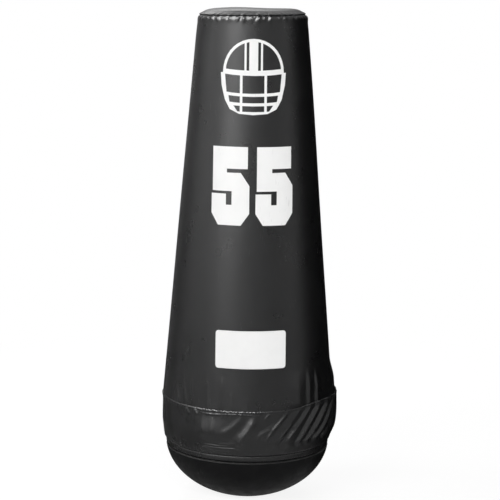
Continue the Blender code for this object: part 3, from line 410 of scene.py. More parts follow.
def gather_places(seed, pitch, spread):
    """Angles of the gathers along a seam, about a pitch in degrees apart, with their strength and length
    shares. They don't lean."""
    chance = np.random.default_rng(seed)
    count = int(round(2 * pi / radians(pitch)))
    angles = (np.arange(count) + chance.uniform(-spread, spread, count)) * radians(pitch)
    return angles, chance.uniform(0.35, 1.0, count), chance.uniform(0.6, 1.4, count), np.zeros(count)


def gathers(angle, drop, places, width, lift, length, rise=0.0035):
    """Puckers that start at a seam and die out away from it: each is a bell across, of a width in degrees,
    with a narrower hollow beside it, leans a little, and falls off with the square of the drop from the
    seam."""
    total = np.zeros(np.broadcast(angle, drop).shape)
    for centre, strength, share, lean in zip(*places):
        reach = length * share
        across = wrapped_difference(angle, centre + lean * drop / COVER_SEAM_RADIUS)
        wide = radians(width) * (0.75 + drop / reach * 0.5)
        beside = across + 1.9 * wide * (1.0 if lean < 0 else -1.0)
        ridge = bell(across, wide) - 0.5 * bell(beside, 0.7 * wide)
        total += strength * ridge * bell(drop, reach)
    return lift * total * smooth_step(drop, 0.0, rise)


# Gathers of the top seam seen in front, as (degrees, strength, length share, lean)
FRONT_GATHERS = (
    (-73.0, 0.5, 0.8, 0.2), (-65.5, 0.9, 0.9, -0.2), (-57.0, 0.5, 0.6, 0.3), (-48.5, 0.9, 1.1, 0.2),
    (-40.5, 1.0, 1.2, 0.1), (-32.0, 0.8, 0.8, 0.4), (-25.0, 1.0, 1.0, -0.4), (-17.5, 1.0, 0.9, 0.5),
    (-10.5, 1.2, 1.4, -0.5), (-3.5, 0.6, 0.6, 0.4), (5.8, 1.4, 1.2, -0.9), (11.5, 0.5, 0.7, 0.2),
    (18.0, 1.1, 1.3, -0.3), (27.5, 0.8, 1.0, 0.3), (34.5, 0.8, 1.1, -0.2), (44.5, 0.5, 0.8, 0.2),
    (52.0, 0.6, 0.9, -0.3), (61.0, 0.4, 0.8, 0.3), (70.0, 0.6, 1.0, 0.1),
)


def top_gathers():
    """Angles, strengths, length shares and leans of the top seam's gathers: the front ones from their
    table, and the rest by chance, about seven degrees apart."""
    chance = np.random.default_rng(11)
    rest = np.arange(78.0, 284.0, 7.0)
    spreads = ((-2.2, 2.2), (0.4, 1.2), (0.6, 1.4), (-0.7, 0.7))
    drawn = [chance.uniform(low, high, len(rest)) for low, high in spreads]
    rest = np.column_stack([rest + drawn[0]] + drawn[1:])
    every = np.concatenate((np.array(FRONT_GATHERS), rest))
    return np.radians(every[:, 0]), every[:, 1], every[:, 2], 0.4 * every[:, 3]


TOP_GATHERS = top_gathers()
FINE_GATHERS = gather_places(seed=41, pitch=3.4, spread=0.45)
SEAM_GATHERS = gather_places(seed=23, pitch=2.9, spread=0.42)
HEM_GATHERS = gather_places(seed=31, pitch=2.2, spread=0.30)


def seam_lift(angle):
    """How much higher the skirt's seam sits on the right, where the vinyl swells."""
    return SEAM_RISE * (step_round(angle, 26, 50) * step_round(angle, 160, 110))


def gathered_front(angle):
    """1 on the front left, where the skirt's seam is gathered hard, 0 elsewhere."""
    return step_round(angle, -35, -27) * step_round(angle, 10, -5)


def edge_waver(angle):
    """How the skirt's folded top edge wavers where it is gathered: two sines that beat."""
    return 0.0009 * np.sin(131 * angle + 2 * np.sin(37 * angle)) * (0.25 + gathered_front(angle))


# Soft puffs under the skirt's seam, as (degrees, width in degrees, height of the fullest place, lift)
SKIRT_PUFFS = (
    (-45.5, 1.6, 0.322, 0.0024), (-38.0, 1.5, 0.326, 0.0026), (-31.5, 1.5, 0.288, 0.0026),
    (-24.8, 1.4, 0.286, 0.0028), (-27.5, 8.5, 0.276, 0.0070), (-18.0, 9.0, 0.290, 0.0014),
    (20.0, 7.0, 0.300, 0.0012),
)


def puffed(angle, height):
    """Puffs: a bell across each, which swells slowly down from the seam to its fullest place and then drops
    back quickly."""
    total = np.zeros(np.broadcast(angle, height).shape)
    for centre, width, fullest, lift in SKIRT_PUFFS:
        slope = smooth_step(height, 0.356, fullest) * smooth_step(height, fullest - 0.026, fullest + 0.006)
        total += lift * bell(angle - radians(centre), radians(width)) * slope
    return total


def seam_puckers(angle, drop):
    """Gathers of the skirt's seam: ridges by chance all round, far stronger on the front left, where a
    second, fainter row of them follows the edge of the seam allowance inside."""
    front_left = gathered_front(angle)
    strength = 0.0009 + 0.0015 * front_left
    upper = strength * gathers(angle, drop, SEAM_GATHERS, width=0.8, lift=1.0, length=0.015)
    along = 0.5 + 0.5 * np.sin(angle * 97 + 3 * np.sin(angle * 23)) * np.sin(angle * 41 + 1.0)
    edge = bell(drop - 0.0135 - 0.002 * np.sin(9 * angle), 0.0022)
    return upper + 0.0022 * edge * front_left * (0.35 + 0.65 * along)


# Cover and top panel

def cone_radius(height):
    """Radius of the cover's straight cone."""
    return COVER_SEAM_RADIUS - CONE_SLOPE * (height - SKIRT_TOP)


def cover_radius(height):
    """Outer radius of the cover: a straight cone, drawn in above the shoulder as a parabola."""
    above = np.maximum(0.0, height - SHOULDER) / (TOP_SEAM - SHOULDER)
    curl = np.clip((height - TOP_SEAM + TOP_CURL_HEIGHT) / TOP_CURL_HEIGHT, 0.0, 1.2)
    drawn = SHOULDER_DRAW * above ** 2 + TOP_CURL * curl ** 2
    return cone_radius(height) - drawn


def back_fade(angle):
    """1 all round but falls to 0 at the back, where the zip holds the cover flat."""
    return step_round(pi - np.abs(angle), 5.5, 22)


def right_bulge(angle, height):
    """Where the slack vinyl swells out low on the right: a bell across it, from 0.48 m down to the hem."""
    tall = smooth_step(height, 0.49, 0.415) * smooth_step(height, 0.208, 0.262)
    return RIGHT_BULGE * bell_round(angle, 84, 26) * tall


def cover_surface(angle, height):
    """Outer radius of the cover with its slack, its creases above the skirt and its gathers at the top:
    the plain radius plus slow waves of under a millimetre, the fold lines and the puckers."""
    flat_back = back_fade(angle)
    slack = 0.0005 * np.sin(3 * angle + 2.1 * height + 0.6) * np.sin(4.4 * height + 0.4)
    slack = slack + 0.0003 * np.sin(7 * angle - 3.0 * height) * smooth_step(height, 1.45, 0.45)
    slack = slack + 0.0004 * np.sin(11 * angle + 1.3) * smooth_step(height, 0.75, 0.38)
    radius = cover_radius(height) + slack * flat_back
    radius = radius + folded(angle, height, COVER_FOLDS) * flat_back
    slant = pleated(angle, height, COVER_PLEAT_HEIGHTS, COVER_VALLEYS, COVER_RISES, COVER_CRESTS)
    near_seam = 0.08 + 0.92 * smooth_step(height, 0.3615, 0.377)
    radius = radius + slant * smooth_step(height, 0.50, 0.42) * near_seam
    swell = SHOULDER_SWELL * np.maximum(np.sin(angle), 0.0) ** 2
    radius = radius + swell * bell(height - SHOULDER_SWELL_HEIGHT, 0.36)
    drop = TOP_SEAM - height
    puckers = gathers(angle, drop, TOP_GATHERS, width=1.7, lift=0.0046, length=0.0125, rise=0.0080)
    fine = gathers(angle, drop, FINE_GATHERS, width=0.8, lift=0.0014, length=0.0090, rise=0.0060)
    radius = radius + (puckers + fine) * flat_back
    roll, pull_in = bell(drop - 0.013, 0.008), np.exp(-np.maximum(drop, 0.0) / 0.0016)
    radius = radius + 0.0008 * roll - 0.0014 * pull_in
    return radius + right_bulge(angle, height)


def top_tilt(x, height):
    """How much higher the top lies on the right than in the middle, growing from the shoulder up."""
    return TOP_LEAN * x * smooth_step(height, SHOULDER, TOP_SEAM)


def press_flat(points, height, inset=0.0):
    """Presses the back flat along the zip: y is at most the plane of the zip's tapes."""
    straight = cone_radius(height)
    limit = straight * FACE_SHARE - inset - (straight - cover_radius(height))
    points[..., 1] = np.minimum(points[..., 1], limit)
    return points


def build_cover(vinyl):
    """The tapered cover as a wall of two grids, angle by height, with the zip's slot left out of both.
    Columns either side of the slot keep its width at every height."""
    columns, across, ratio = COVER_COLUMNS, 8, COARSER
    past_zip = (STOP_LENGTH + SEAM_GAP) * math.cos(BACK_ANGLE)
    slot_low, slot_high = ZIP_BOTTOM - past_zip, ZIP_TOP + past_zip
    stops = (
        (COVER_BOTTOM, 20), (slot_low, 20), (CREASES_TOP, 44), (slot_high, 10), (GATHERS_BOTTOM, 18),
        (TOP_SEAM - COVER_EDGE_ROWS, 0))
    rows = [np.linspace(low, high, count)[:-1] for (low, count), (high, _) in zip(stops, stops[1:])]
    rows = np.concatenate(rows + [TOP_SEAM - COVER_EDGE_ROWS * (1 - np.linspace(0, 1, 7)) ** 1.5])
    height = rows[:, None]
    base = cover_radius(height)
    half = np.arcsin(HALF_SLOT / base)
    main = columns - across
    share = np.arange(main + 1)[None, :] / main
    angle = -pi + half + (2 * pi - 2 * half) * share
    x = HALF_SLOT * (1 - 2 * np.arange(1, across)[None, :] / across)
    angle = np.concatenate((angle, pi - np.arcsin(x / base)), axis=1)
    thin = angle[:, ::ratio]
    outer = press_flat(around(angle, cover_surface(angle, height), height), height)
    inside = cover_surface(thin, height) - VINYL_THICKNESS
    inner = press_flat(around(thin, inside, height), height, VINYL_THICKNESS)
    for wall in (outer, inner):
        wall[..., 2] += top_tilt(wall[..., 0], height)
    few, count = columns // ratio, len(rows)
    points = np.concatenate((outer.reshape(-1, 3), inner[::-1].reshape(-1, 3)))
    faces = stack_faces([columns] * count + [few] * count, closed=True)
    low = int(np.argmin(np.abs(rows - slot_low)))
    high = int(np.argmin(np.abs(rows - slot_high)))
    for i in range(low, high):
        faces[i] = faces[i][:main]
        mirrored = 2 * count - 2 - i
        faces[mirrored] = faces[mirrored][: main // ratio]

    def out(i, j):
        return i * columns + j % columns

    def within(i, k):
        return columns * count + (count - 1 - i) * few + k % few

    def add_faces(*corners):
        faces.append(np.stack(corners, axis=1))

    i = np.arange(low, high)
    edge, inner_edge = main, main // ratio
    add_faces(out(i, edge), within(i, inner_edge), within(i + 1, inner_edge), out(i + 1, edge))
    add_faces(out(i, 0), out(i + 1, 0), within(i + 1, 0), within(i, 0))
    q = np.arange(across // ratio)
    fan = [out(low, edge + q * ratio + s) for s in range(ratio + 1)]
    add_faces(*fan, within(low, inner_edge + q + 1), within(low, inner_edge + q))
    fan = [out(high, edge + q * ratio + s) for s in range(ratio, -1, -1)]
    add_faces(*fan, within(high, inner_edge + q), within(high, inner_edge + q + 1))
    return add_piece("vinyl_cover", points, faces, vinyl, slot="black_vinyl", replaces=("cover_body",))


def top_height(radius, x):
    """Height of the top panel over its sewn edge: a flat crown whose rim falls off with a high power of
    the radius, sagging a little on the right."""
    share = np.clip(radius / cover_radius(TOP_SEAM), 0.0, 1.0)
    sag = 0.0035 * bell(x - 0.075, 0.075) - 0.0012 * bell(x + 0.055, 0.05)
    return TOP_CROWN * (1 - share ** CROWN_POWER) - sag * (1 - share ** 4)


def build_top(vinyl):
    """The crowned top panel: rings from its sewn edge over a rolled rim to a pole, and the same again
    inside. Rings get four times coarser near the pole."""
    rim, seat = float(cover_radius(TOP_SEAM)), TOP_SEAM + SEAM_GAP
    few = TOP_COLUMNS // COARSER
    fine, coarse = full_turn(TOP_COLUMNS), full_turn(few)
    roll = np.linspace(0, 1, 9)
    bulge = 0.0016 * np.sin(np.pi * 0.5 * roll)
    profile = [(rim + out, seat + TOP_EDGE * share, 0.0) for out, share in zip(bulge - 0.0006, roll)]
    shares = (np.linspace(1.0, 0.84, 22)[1:], np.linspace(0.82, 0.30, 14), (0.18, 0.08, 0.0))
    profile += [((rim + 0.0010) * share, seat + TOP_EDGE, 1.0) for share in np.concatenate(shares)]
    outside, inside = [], []
    for i, (radius, base, crowned) in enumerate(profile):
        lowered = max(seat, base - VINYL_THICKNESS)
        if radius < 1e-6:
            outside.append(pole(base + top_height(0.0, 0.0)))
            inside.append(pole(lowered + top_height(0.0, 0.0)))
            continue
        columns = fine if radius > 0.7 * rim else coarse
        lift = top_height(np.full(len(columns), min(radius, rim)), radius * np.sin(columns)) * crowned
        drop = 0.004 + np.maximum(0.0, rim - radius) + lift
        push = gathers(columns, drop, TOP_GATHERS, width=1.7, lift=0.0013, length=0.014) * min(1.0, i / 5)
        tuck = -0.0009 * bell(rim - radius - 0.012, 0.006) * crowned
        outside.append(around(columns, radius + 0.7 * push, base + lift + push + tuck))
        lift = top_height(np.full(few, min(radius, rim)), radius * np.sin(coarse)) * crowned
        inside.append(around(coarse, radius - VINYL_THICKNESS, lowered + lift))
    points, faces = stack_rings(outside + inside[::-1], closed=True)
    points[:, 2] += top_tilt(points[:, 0], TOP_SEAM)
    return add_piece("vinyl_top", points, faces, vinyl, slot="black_vinyl", replaces=("top_panel",))


# Skirt, hem and bowl

def skirt_outline(share):
    """The skirt's outer radius at a share of its height above the hem."""
    rise = np.minimum(1.0, share / 0.5)
    radius = HEM_RADIUS + (SKIRT_RADIUS - HEM_RADIUS) * (1 - (1 - rise) ** 2.2)
    fall = np.maximum(0.0, (share - 0.5) / 0.5)
    tuck = np.maximum(0.0, 1 - share * SKIRT_LENGTH / HEM_TUCK_HEIGHT)
    return radius - SKIRT_BULGE * fall ** 1.6 - HEM_TUCK * tuck


def skirt_pleats(angle, height):
    """Slanting pleats on the right: broad faces that look left and short steep ones that look right, sunk
    a little as a whole, dying out over the hem."""
    fade = smooth_step(height, 0.222, 0.252) * (1.0 - 0.5 * smooth_step(height, 0.345, 0.361))
    sunk = step_round(angle, 14, 44) * step_round(angle, 102, 78)
    pleats = pleated(angle, height, PLEAT_HEIGHTS, SKIRT_VALLEYS, SKIRT_RISES, SKIRT_CRESTS)
    return (pleats - PLEAT_SINK * sunk) * fade


def skirt_surface(angle, height):
    """Outer radius of the skirt: its outline with the pleats, plus the fold lines, puffs, puckers under
    the seam and above the drawn hem, kept clear of the foam inside."""
    seam = SKIRT_TOP + seam_lift(angle)
    drop = seam - height
    share = np.clip((height - HEM_HEIGHT) / (seam - HEM_HEIGHT), 0.0, 1.0)
    radius = skirt_outline(share) + skirt_pleats(angle, height)
    radius = radius + folded(angle, height, SKIRT_FOLDS) + puffed(angle, height) + right_bulge(angle, height)
    hollow = LEFT_HOLLOW * smooth_step(share, 1.0, 0.8) * smooth_step(share, 0.0, 0.3)
    radius = radius - bell_round(angle, -84, 36) * (hollow + 0.0014 * smooth_step(share, 0.8, 1.0))
    radius = radius + 0.0006 * np.sin(5 * angle + 14 * height) * np.sin(pi * share)
    radius = radius + seam_puckers(angle, drop)
    radius = radius + EDGE_BEAD * bell(drop - 0.0022, 0.0020) * step_round(angle, -12, 8)
    up = height - HEM_HEIGHT
    radius = radius + gathers(angle, up, HEM_GATHERS, width=0.65, lift=0.0012, length=0.016)
    over = radius - FLANGE_CLEAR_RADIUS
    soft = FLANGE_CLEAR_RADIUS + 0.0006 * np.logaddexp(0.0, over / 0.0006)
    near_foam = smooth_step(height, 0.248, 0.268) * smooth_step(height, 0.345, 0.334)
    return radius + (soft - radius) * near_foam


def build_skirt(vinyl):
    """The skirt as a wall of two grids, angle by height, its top edge folded over and rounded."""
    fine, coarse = full_turn(SKIRT_COLUMNS), full_turn(SKIRT_COLUMNS // COARSER)
    heights = np.concatenate((
        HEM_HEIGHT + HEM_ROWS * np.linspace(0, 1, 6)[:-1] ** 1.3,
        np.linspace(HEM_HEIGHT + HEM_ROWS, WRINKLES_TOP, 30)[:-1],
        np.linspace(WRINKLES_TOP, SKIRT_TOP - SKIRT_EDGE_ROWS, 34)[:-1],
        SKIRT_TOP - SKIRT_EDGE_ROWS * (1 - np.linspace(0, 1, 18)) ** 1.5,
    ))

    def lifted(angle, height):
        return height + seam_lift(angle) * (height - HEM_HEIGHT) / SKIRT_LENGTH

    rings = []
    for height in heights:
        fold = max(0.0, 1 - (SKIRT_TOP - height) / 0.0036)
        hem_roll = 0.0010 * np.exp(-(height - HEM_HEIGHT) / 0.0009)
        rolled = 0.0030 * (1 - math.sqrt(1 - 0.995 * fold ** 2)) + hem_roll
        place = lifted(fine, height)
        wavy = edge_waver(fine) * max(0.0, 1 - (SKIRT_TOP - height) / 0.006)
        rings.append(around(fine, skirt_surface(fine, place) - rolled + wavy, place + wavy))
    for height in heights[::-2]:
        place = lifted(coarse, height)
        rings.append(around(coarse, skirt_surface(coarse, place) - VINYL_THICKNESS, place))
    points, faces = stack_rings(rings, closed=True)
    return add_piece("vinyl_skirt", points, faces, vinyl, slot="skirt_vinyl", replaces=("skirt",))


def build_casing(vinyl):
    """The hem's casing round the draw cord: a squarish section, a power of the cosine and sine, carried
    round the axis and puckered by the cord, with a thin wall, open over one facet at the back."""
    steps, corners = 720, 20
    back = pi - pi / 48
    angle = np.linspace(-back, back, steps + 1)[:, None]
    turn = 2 * pi * np.arange(corners)[None, :] / corners
    squared = [np.sign(wave) * np.abs(wave) ** 0.62 for wave in (np.cos(turn), np.sin(turn))]
    drop = np.full_like(angle, 0.004)
    pucker = gathers(angle, drop, HEM_GATHERS, width=0.6, lift=0.0010, length=0.012)
    walls = []
    for inset, share in ((0.0, 1.0), (CASING_WALL, 0.5)):
        x = squared[0] * (CASING_DEPTH / 2 - inset)
        z = squared[1] * (CASING_TALL / 2 - inset)
        outside = smooth_step(x, 0.0, CASING_DEPTH / 2)
        radius = CASING_RADIUS + x + (pucker - 0.0005) * outside * share
        walls.append(around(angle, radius, CASING_HEIGHT + z + 0 * angle).reshape(-1, 3))
    base, end = len(walls[0]), steps * corners
    tube = np.concatenate(stack_faces([corners] * (steps + 1)))
    j = np.arange(corners)
    k = (j + 1) % corners
    faces = [
        np.roll(tube[:, ::-1], 1, axis=1), base + tube,
        np.stack((j, k, base + k, base + j), axis=1),
        np.stack((end + j, base + end + j, base + end + k, end + k), axis=1),
    ]
    return add_piece("hem_channel", walls, faces, vinyl, slot="skirt_vinyl", replaces=("hem_casing",))


def build_cord(braid):
    """The draw cord: a round section with eight soft strands, carried round inside the casing."""
    turn = 2 * pi * np.arange(12)[:, None] / 12
    angle = full_turn(480)[None, :]
    radius = CORD_RADIUS * (1 - 0.05 * (0.5 + 0.5 * np.cos(4 * turn + 120 * angle)))
    rings = around(angle, CASING_RADIUS + radius * np.cos(turn), CASING_HEIGHT + radius * np.sin(turn))
    points, faces = stack_rings(list(rings), closed=True)
    return add_piece("braided_draw_cord", points, faces, braid, slot="braided_cord", replaces=("draw_cord",))


def bowl_profile():
    """The bowl's section: foot, half of an ellipse, rounded lip, groove, rim, ledge and the inside."""
    lip_start = LIP_TOP - LIP_ROUNDING
    start, end = math.asin(FOOT_RADIUS / BOWL_RADIUS), math.acos((EQUATOR - lip_start) / BOWL_DEPTH)
    turn = np.linspace(start, end, 56)
    outside = list(zip(BOWL_RADIUS * np.sin(turn), EQUATOR - BOWL_DEPTH * np.cos(turn)))
    outside[0] = (FOOT_RADIUS + 0.0008, 0.0006)
    lip_radius = outside[-1][0]
    lip = [(lip_radius - LIP_ROUNDING * (1 - math.cos(b)), lip_start + LIP_ROUNDING * math.sin(b))
           for b in np.radians((15, 30, 45, 60, 75, 90))]
    upper = rounded([
        lip[-1], (GROOVE_RADIUS, LIP_TOP), (GROOVE_RADIUS, GROOVE_TOP), (RIM_RADIUS, GROOVE_TOP + 0.003),
        (RIM_RADIUS, RIM_TOP), (RIM_INNER, RIM_TOP), (RIM_INNER, LEDGE_TOP), (LEDGE_INNER, LEDGE_TOP),
        (LEDGE_INNER, LEDGE_UNDER), (TAPER_RADIUS, TAPER_BOTTOM),
    ], 0.003, 3, closed=False)[1:-1]
    heights = TAPER_BOTTOM + (FLOOR_TOP - TAPER_BOTTOM) * np.linspace(0, 1, 24) ** 0.8
    reach = np.sqrt(1 - np.minimum(1.0, (EQUATOR - heights) / (BOWL_DEPTH - BOWL_WALL)) ** 2)
    inside = list(zip((BOWL_RADIUS - BOWL_WALL) * reach, heights))
    foot = [
        (BOLT_HOLE, RECESS_TOP), (RECESS_RADIUS, RECESS_TOP), (RECESS_RADIUS, FOOT_ROUNDING),
        (RECESS_RADIUS + FOOT_ROUNDING, 0.0), (FOOT_RADIUS - 0.002, 0.0),
    ]
    return foot + outside + lip + upper + inside + [(BOLT_HOLE, FLOOR_TOP)]


def build_bowl(rubber):
    """The moulded bowl, turned."""
    points, faces = turned(bowl_profile(), 192)
    return add_piece("moulded_bowl", points, faces, rubber, slot="bowl_rubber", replaces=("base_bowl",),
                     sharp=30.0)


# Stitches, laid as small loops of thread

def stitch_row(name, centres, along, out, length, thickness, thread):
    """One small arched bar of thread for each place: rings of six points along it, its middle a thread
    proud of the surface and its ends sunk in. Along and out are unit vectors for each place."""
    t = np.array((-1.0, -0.62, 0.0, 0.62, 1.0))
    swell = np.array((0.35, 0.9, 1.0, 0.9, 0.35))
    lift = np.array((-0.8, 0.25, 0.55, 0.25, -0.8)) * thickness
    turn = 2 * pi * np.arange(6) / 6
    y = (thickness / 2 * swell[:, None] * np.cos(turn)).ravel()
    z = (lift[:, None] + thickness / 2 * swell[:, None] * np.sin(turn)).ravel()
    x = np.concatenate(([-length / 2], np.repeat(t * length / 2, 6), [length / 2]))
    y = np.concatenate(([0.0], y, [0.0]))
    z = np.concatenate(([lift[0]], z, [lift[-1]]))
    points = centres[:, None]
    for share, way in ((x, along), (y, np.cross(out, along)), (z, out)):
        points = points + share[:, None] * way[:, None]
    shift = len(x) * np.arange(len(centres))[:, None, None]
    loop = stack_faces([1, 6, 6, 6, 6, 6, 1])
    faces = [(block[None] + shift).reshape(-1, block.shape[1]) for block in loop]
    return add_piece(name, points, faces, thread, sharp=180.0)


def unit(vectors):
    """Vectors brought to a length of one."""
    return vectors / np.linalg.norm(vectors, axis=1, keepdims=True)


def ring_stitches(name, surface, level, thread, lift=None, pitch=STITCH_PITCH, length=STITCH_LENGTH,
                  skip=0.0):
    """A row of stitches round the axis at a height that may vary with the angle, on a surface given as
    radius of angle and height. It may skip some degrees either side of the back."""
    girth = 2 * pi * float(np.mean(surface(full_turn(90), np.full(90, level))))
    count = int(girth / pitch)
    angle = full_turn(count) + pi / count
    if skip:
        angle = angle[pi - np.abs(angle) > radians(skip)]
    step = 1e-3
    height, beyond = (level + (lift(a) if lift else 0.0 * a) for a in (angle, angle + step))
    place = around(angle, surface(angle, height), height)
    ahead = around(angle + step, surface(angle + step, beyond), beyond)
    above = around(angle, surface(angle, height + step), height + step)
    along = unit(ahead - place)
    out = unit(np.cross(along, above - place))
    place[:, 2] += top_tilt(place[:, 0], height)
    return stitch_row(name, place, along, out, length, THREAD_THICKNESS, thread)


# Prints: the part's flat plates, split finer and laid on the dressed cover

def split_triangles(points, triangles):
    """Every triangle into four, at the middles of its sides."""
    sides = np.sort(triangles[:, [0, 1, 1, 2, 2, 0]].reshape(-1, 2), axis=1)
    unique, index = np.unique(sides, axis=0, return_inverse=True)
    middles = points[unique].mean(axis=1)
    d, e, f = (index.reshape(-1, 3) + len(points)).astype(int).T
    a, b, c = triangles.T
    four = (a, d, f), (d, b, e), (f, e, c), (d, e, f)
    return np.concatenate((points, middles)), np.concatenate([np.stack(three, axis=1) for three in four])


def merged_node(name):
    """Points and triangles of a node of the frame, its doubled corners merged."""
    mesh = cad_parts[name].data
    points = np.zeros(len(mesh.vertices) * 3, np.float32)
    mesh.vertices.foreach_get("co", points)
    mesh.calc_loop_triangles()
    triangles = np.zeros(len(mesh.loop_triangles) * 3, np.int32)
    mesh.loop_triangles.foreach_get("vertices", triangles)
    points = points.reshape(-1, 3).astype(float)
    _, first, inverse = np.unique(np.round(points, 6), axis=0, return_index=True, return_inverse=True)
    triangles = inverse.reshape(-1)[triangles].reshape(-1, 3)
    whole = (triangles != np.roll(triangles, 1, axis=1)).all(axis=1)
    return points[first], triangles[whole]


def lay_on_cover(node, name, ink, thickness, passes, wide=1.0, tall=1.0, up=0.0):
    """A print or patch from its node: every point keeps its angle and height, but for a small stretch
    about the middle, and its distance from the axis becomes the dressed cover's radius, plus the
    thickness for the outer face."""
    points, triangles = merged_node(node)
    angle = np.arctan2(points[:, 0], -points[:, 1])
    height = points[:, 2]
    above = np.maximum(0.0, height - SHOULDER) / (SOLID_SEAM - SHOULDER)
    solid = cone_radius(height) - SOLID_DRAW * above ** 2
    chord = np.hypot(points[:, 0], points[:, 1]) - solid
    outer = chord > (chord.max() + chord.min()) / 2
    middle = (angle.max() + angle.min()) / 2
    centre = (height.max() + height.min()) / 2
    angle = middle + (angle - middle) * wide
    height = centre + (height - centre) * tall + up
    flat = np.stack((angle, height, outer.astype(float)), axis=1)
    for _ in range(passes):
        flat, triangles = split_triangles(flat, triangles)
    angle, height, outer = flat.T
    laid = around(angle, cover_surface(angle, height) + thickness * outer, height)
    return add_piece(name, laid, [triangles], ink, slot="white_print", replaces=(node,))


# Zip

def back_place(height):
    """Frame on the cover's back at a height: X across, Y out of the cover, Z up along the zip."""
    out = Vector((0.0, math.cos(BACK_ANGLE), math.sin(BACK_ANGLE)))
    up = Vector((0.0, -math.sin(BACK_ANGLE), math.cos(BACK_ANGLE)))
    turn = Matrix((Vector((1.0, 0.0, 0.0)), out, up)).transposed().to_4x4()
    return Matrix.Translation((0.0, cone_radius(height) * FACE_SHARE, height)) @ turn


ZIP_PLACE = np.array(back_place(ZIP_BOTTOM), float)


def on_zip(points):
    """Points given in the zip's own frame, brought to the cover's back."""
    return np.asarray(points, float) @ ZIP_PLACE[:3, :3].T + ZIP_PLACE[:3, 3]


def build_tape(name, side, cloth, node):
    """A zip tape: a thin section with a bead along the chain, carried along the back."""
    near, far = CHAIN_WIDTH / 2 + SEAM_GAP, CHAIN_WIDTH / 2 + SEAM_GAP + TAPE_WIDTH
    front, back = -TAPE_RECESS, -TAPE_RECESS - TAPE_THICKNESS
    section = np.array([(side * x, y) for x, y in (
        (near, back + 0.0001), (near + 0.0003, back), (far - 0.0003, back), (far, back + 0.0003),
        (far, front - 0.0004), (far - 0.0003, front - 0.00015), (near + 0.0030, front - 0.00025),
        (near + 0.0022, front - 0.0001), (near + 0.0012, front), (near + 0.0003, front - 0.0001),
        (near, front - 0.0004),
    )])[::side]
    along = np.linspace(-STOP_LENGTH, ZIP_LENGTH + STOP_LENGTH, 80)
    n = len(section)
    points = on_zip(np.concatenate([np.column_stack((section, np.full(n, z))) for z in along]))
    ends = [np.arange(n)[None, ::-1], np.arange(n)[None, :] + n * (len(along) - 1)]
    faces = stack_faces([n] * len(along)) + ends
    return add_piece(name, points, faces, cloth, slot="black_vinyl", replaces=(node,), sharp=50.0)


def build_chain(plastic):
    """The zip's moulded teeth, in pairs set half a pitch apart: each a neck and a wider head, its outer
    face drawn in to a bevel."""
    head, neck = TOOTH_PITCH * 0.40, TOOTH_PITCH * 0.27
    reach, root = 0.0006, -CHAIN_WIDTH / 2
    outline = np.array([
        (root, -neck), (-0.0009, -neck), (-0.0003, -head), (reach - 0.0003, -head), (reach, -head * 0.5),
        (reach, head * 0.5), (reach - 0.0003, head), (-0.0003, head), (-0.0009, neck), (root, neck),
    ])
    low, high = CHAIN_PROUD - CHAIN_THICKNESS, CHAIN_PROUD
    middle, n = outline.mean(axis=0), len(outline)
    rings = []
    for y, share in ((low, 0.80), (low + 0.0004, 1.0), (high - 0.0004, 1.0), (high, 0.78)):
        drawn = middle + (outline - middle) * share
        rings.append(np.column_stack((drawn[:, 0], np.full(n, y), drawn[:, 1])))
    tooth = np.concatenate(rings)
    blocks = stack_faces([n] * 4) + [np.arange(n)[::-1][None, :], (np.arange(n) + 3 * n)[None, :]]
    count = int(ZIP_LENGTH / TOOTH_PITCH) - 1
    start = (ZIP_LENGTH - count * TOOTH_PITCH) / 2
    points, faces, offset = [], [], 0
    for side, phase in ((1, 0.25), (-1, 0.75)):
        z = start + TOOTH_PITCH * (np.arange(count) + phase)
        cloud = (tooth * np.array((side, 1.0, 1.0)))[None] + np.stack((0 * z, 0 * z, z), axis=1)[:, None]
        shift = offset + 4 * n * np.arange(count)[:, None, None]
        for block in blocks:
            faces.append((block[:, ::side][None] + shift).reshape(-1, block.shape[1]))
        points.append(cloud.reshape(-1, 3))
        offset += 4 * n * count
    return add_piece("zip_teeth", on_zip(np.concatenate(points)), faces, plastic, slot="zip_plastic",
                     replaces=("zip_chain",), sharp=35.0)


def metal_part(node, name, metal, body="dummy"):
    """A small solid of the part, merged, its flat faces joined, its edges rounded by a live bevel."""
    points, triangles = merged_node(node)
    piece = new_object(name, points, [triangles], metal)
    bm = bmesh.new()
    bm.from_mesh(piece.data)
    bmesh.ops.dissolve_limit(bm, angle_limit=radians(3), verts=bm.verts, edges=bm.edges)
    bm.to_mesh(piece.data)
    bm.free()
    smooth_off(piece.data, 40)
    bevel = piece.modifiers.new("rounded edges", "BEVEL")
    bevel.width, bevel.segments, bevel.limit_method = 0.0004, 2, "ANGLE"
    bevel.angle_limit = radians(40)
    bevel.harden_normals = False
    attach(piece, body)
    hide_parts(node)
    return piece


# Foam inside

def add_foam(name, node, shape, foam, slot):
    """A foam piece from points and faces."""
    add_piece(name, *shape, foam, slot=slot, replaces=(node,))


def turned_foam(name, node, section, rounding, columns, foam, slot):
    """A foam piece turned from its section with rounded corners; one that starts on the axis is solid."""
    closed = section[0][0] > 1e-9
    add_foam(name, node, turned(rounded(section, rounding, 3, closed), columns, closed), foam, slot)


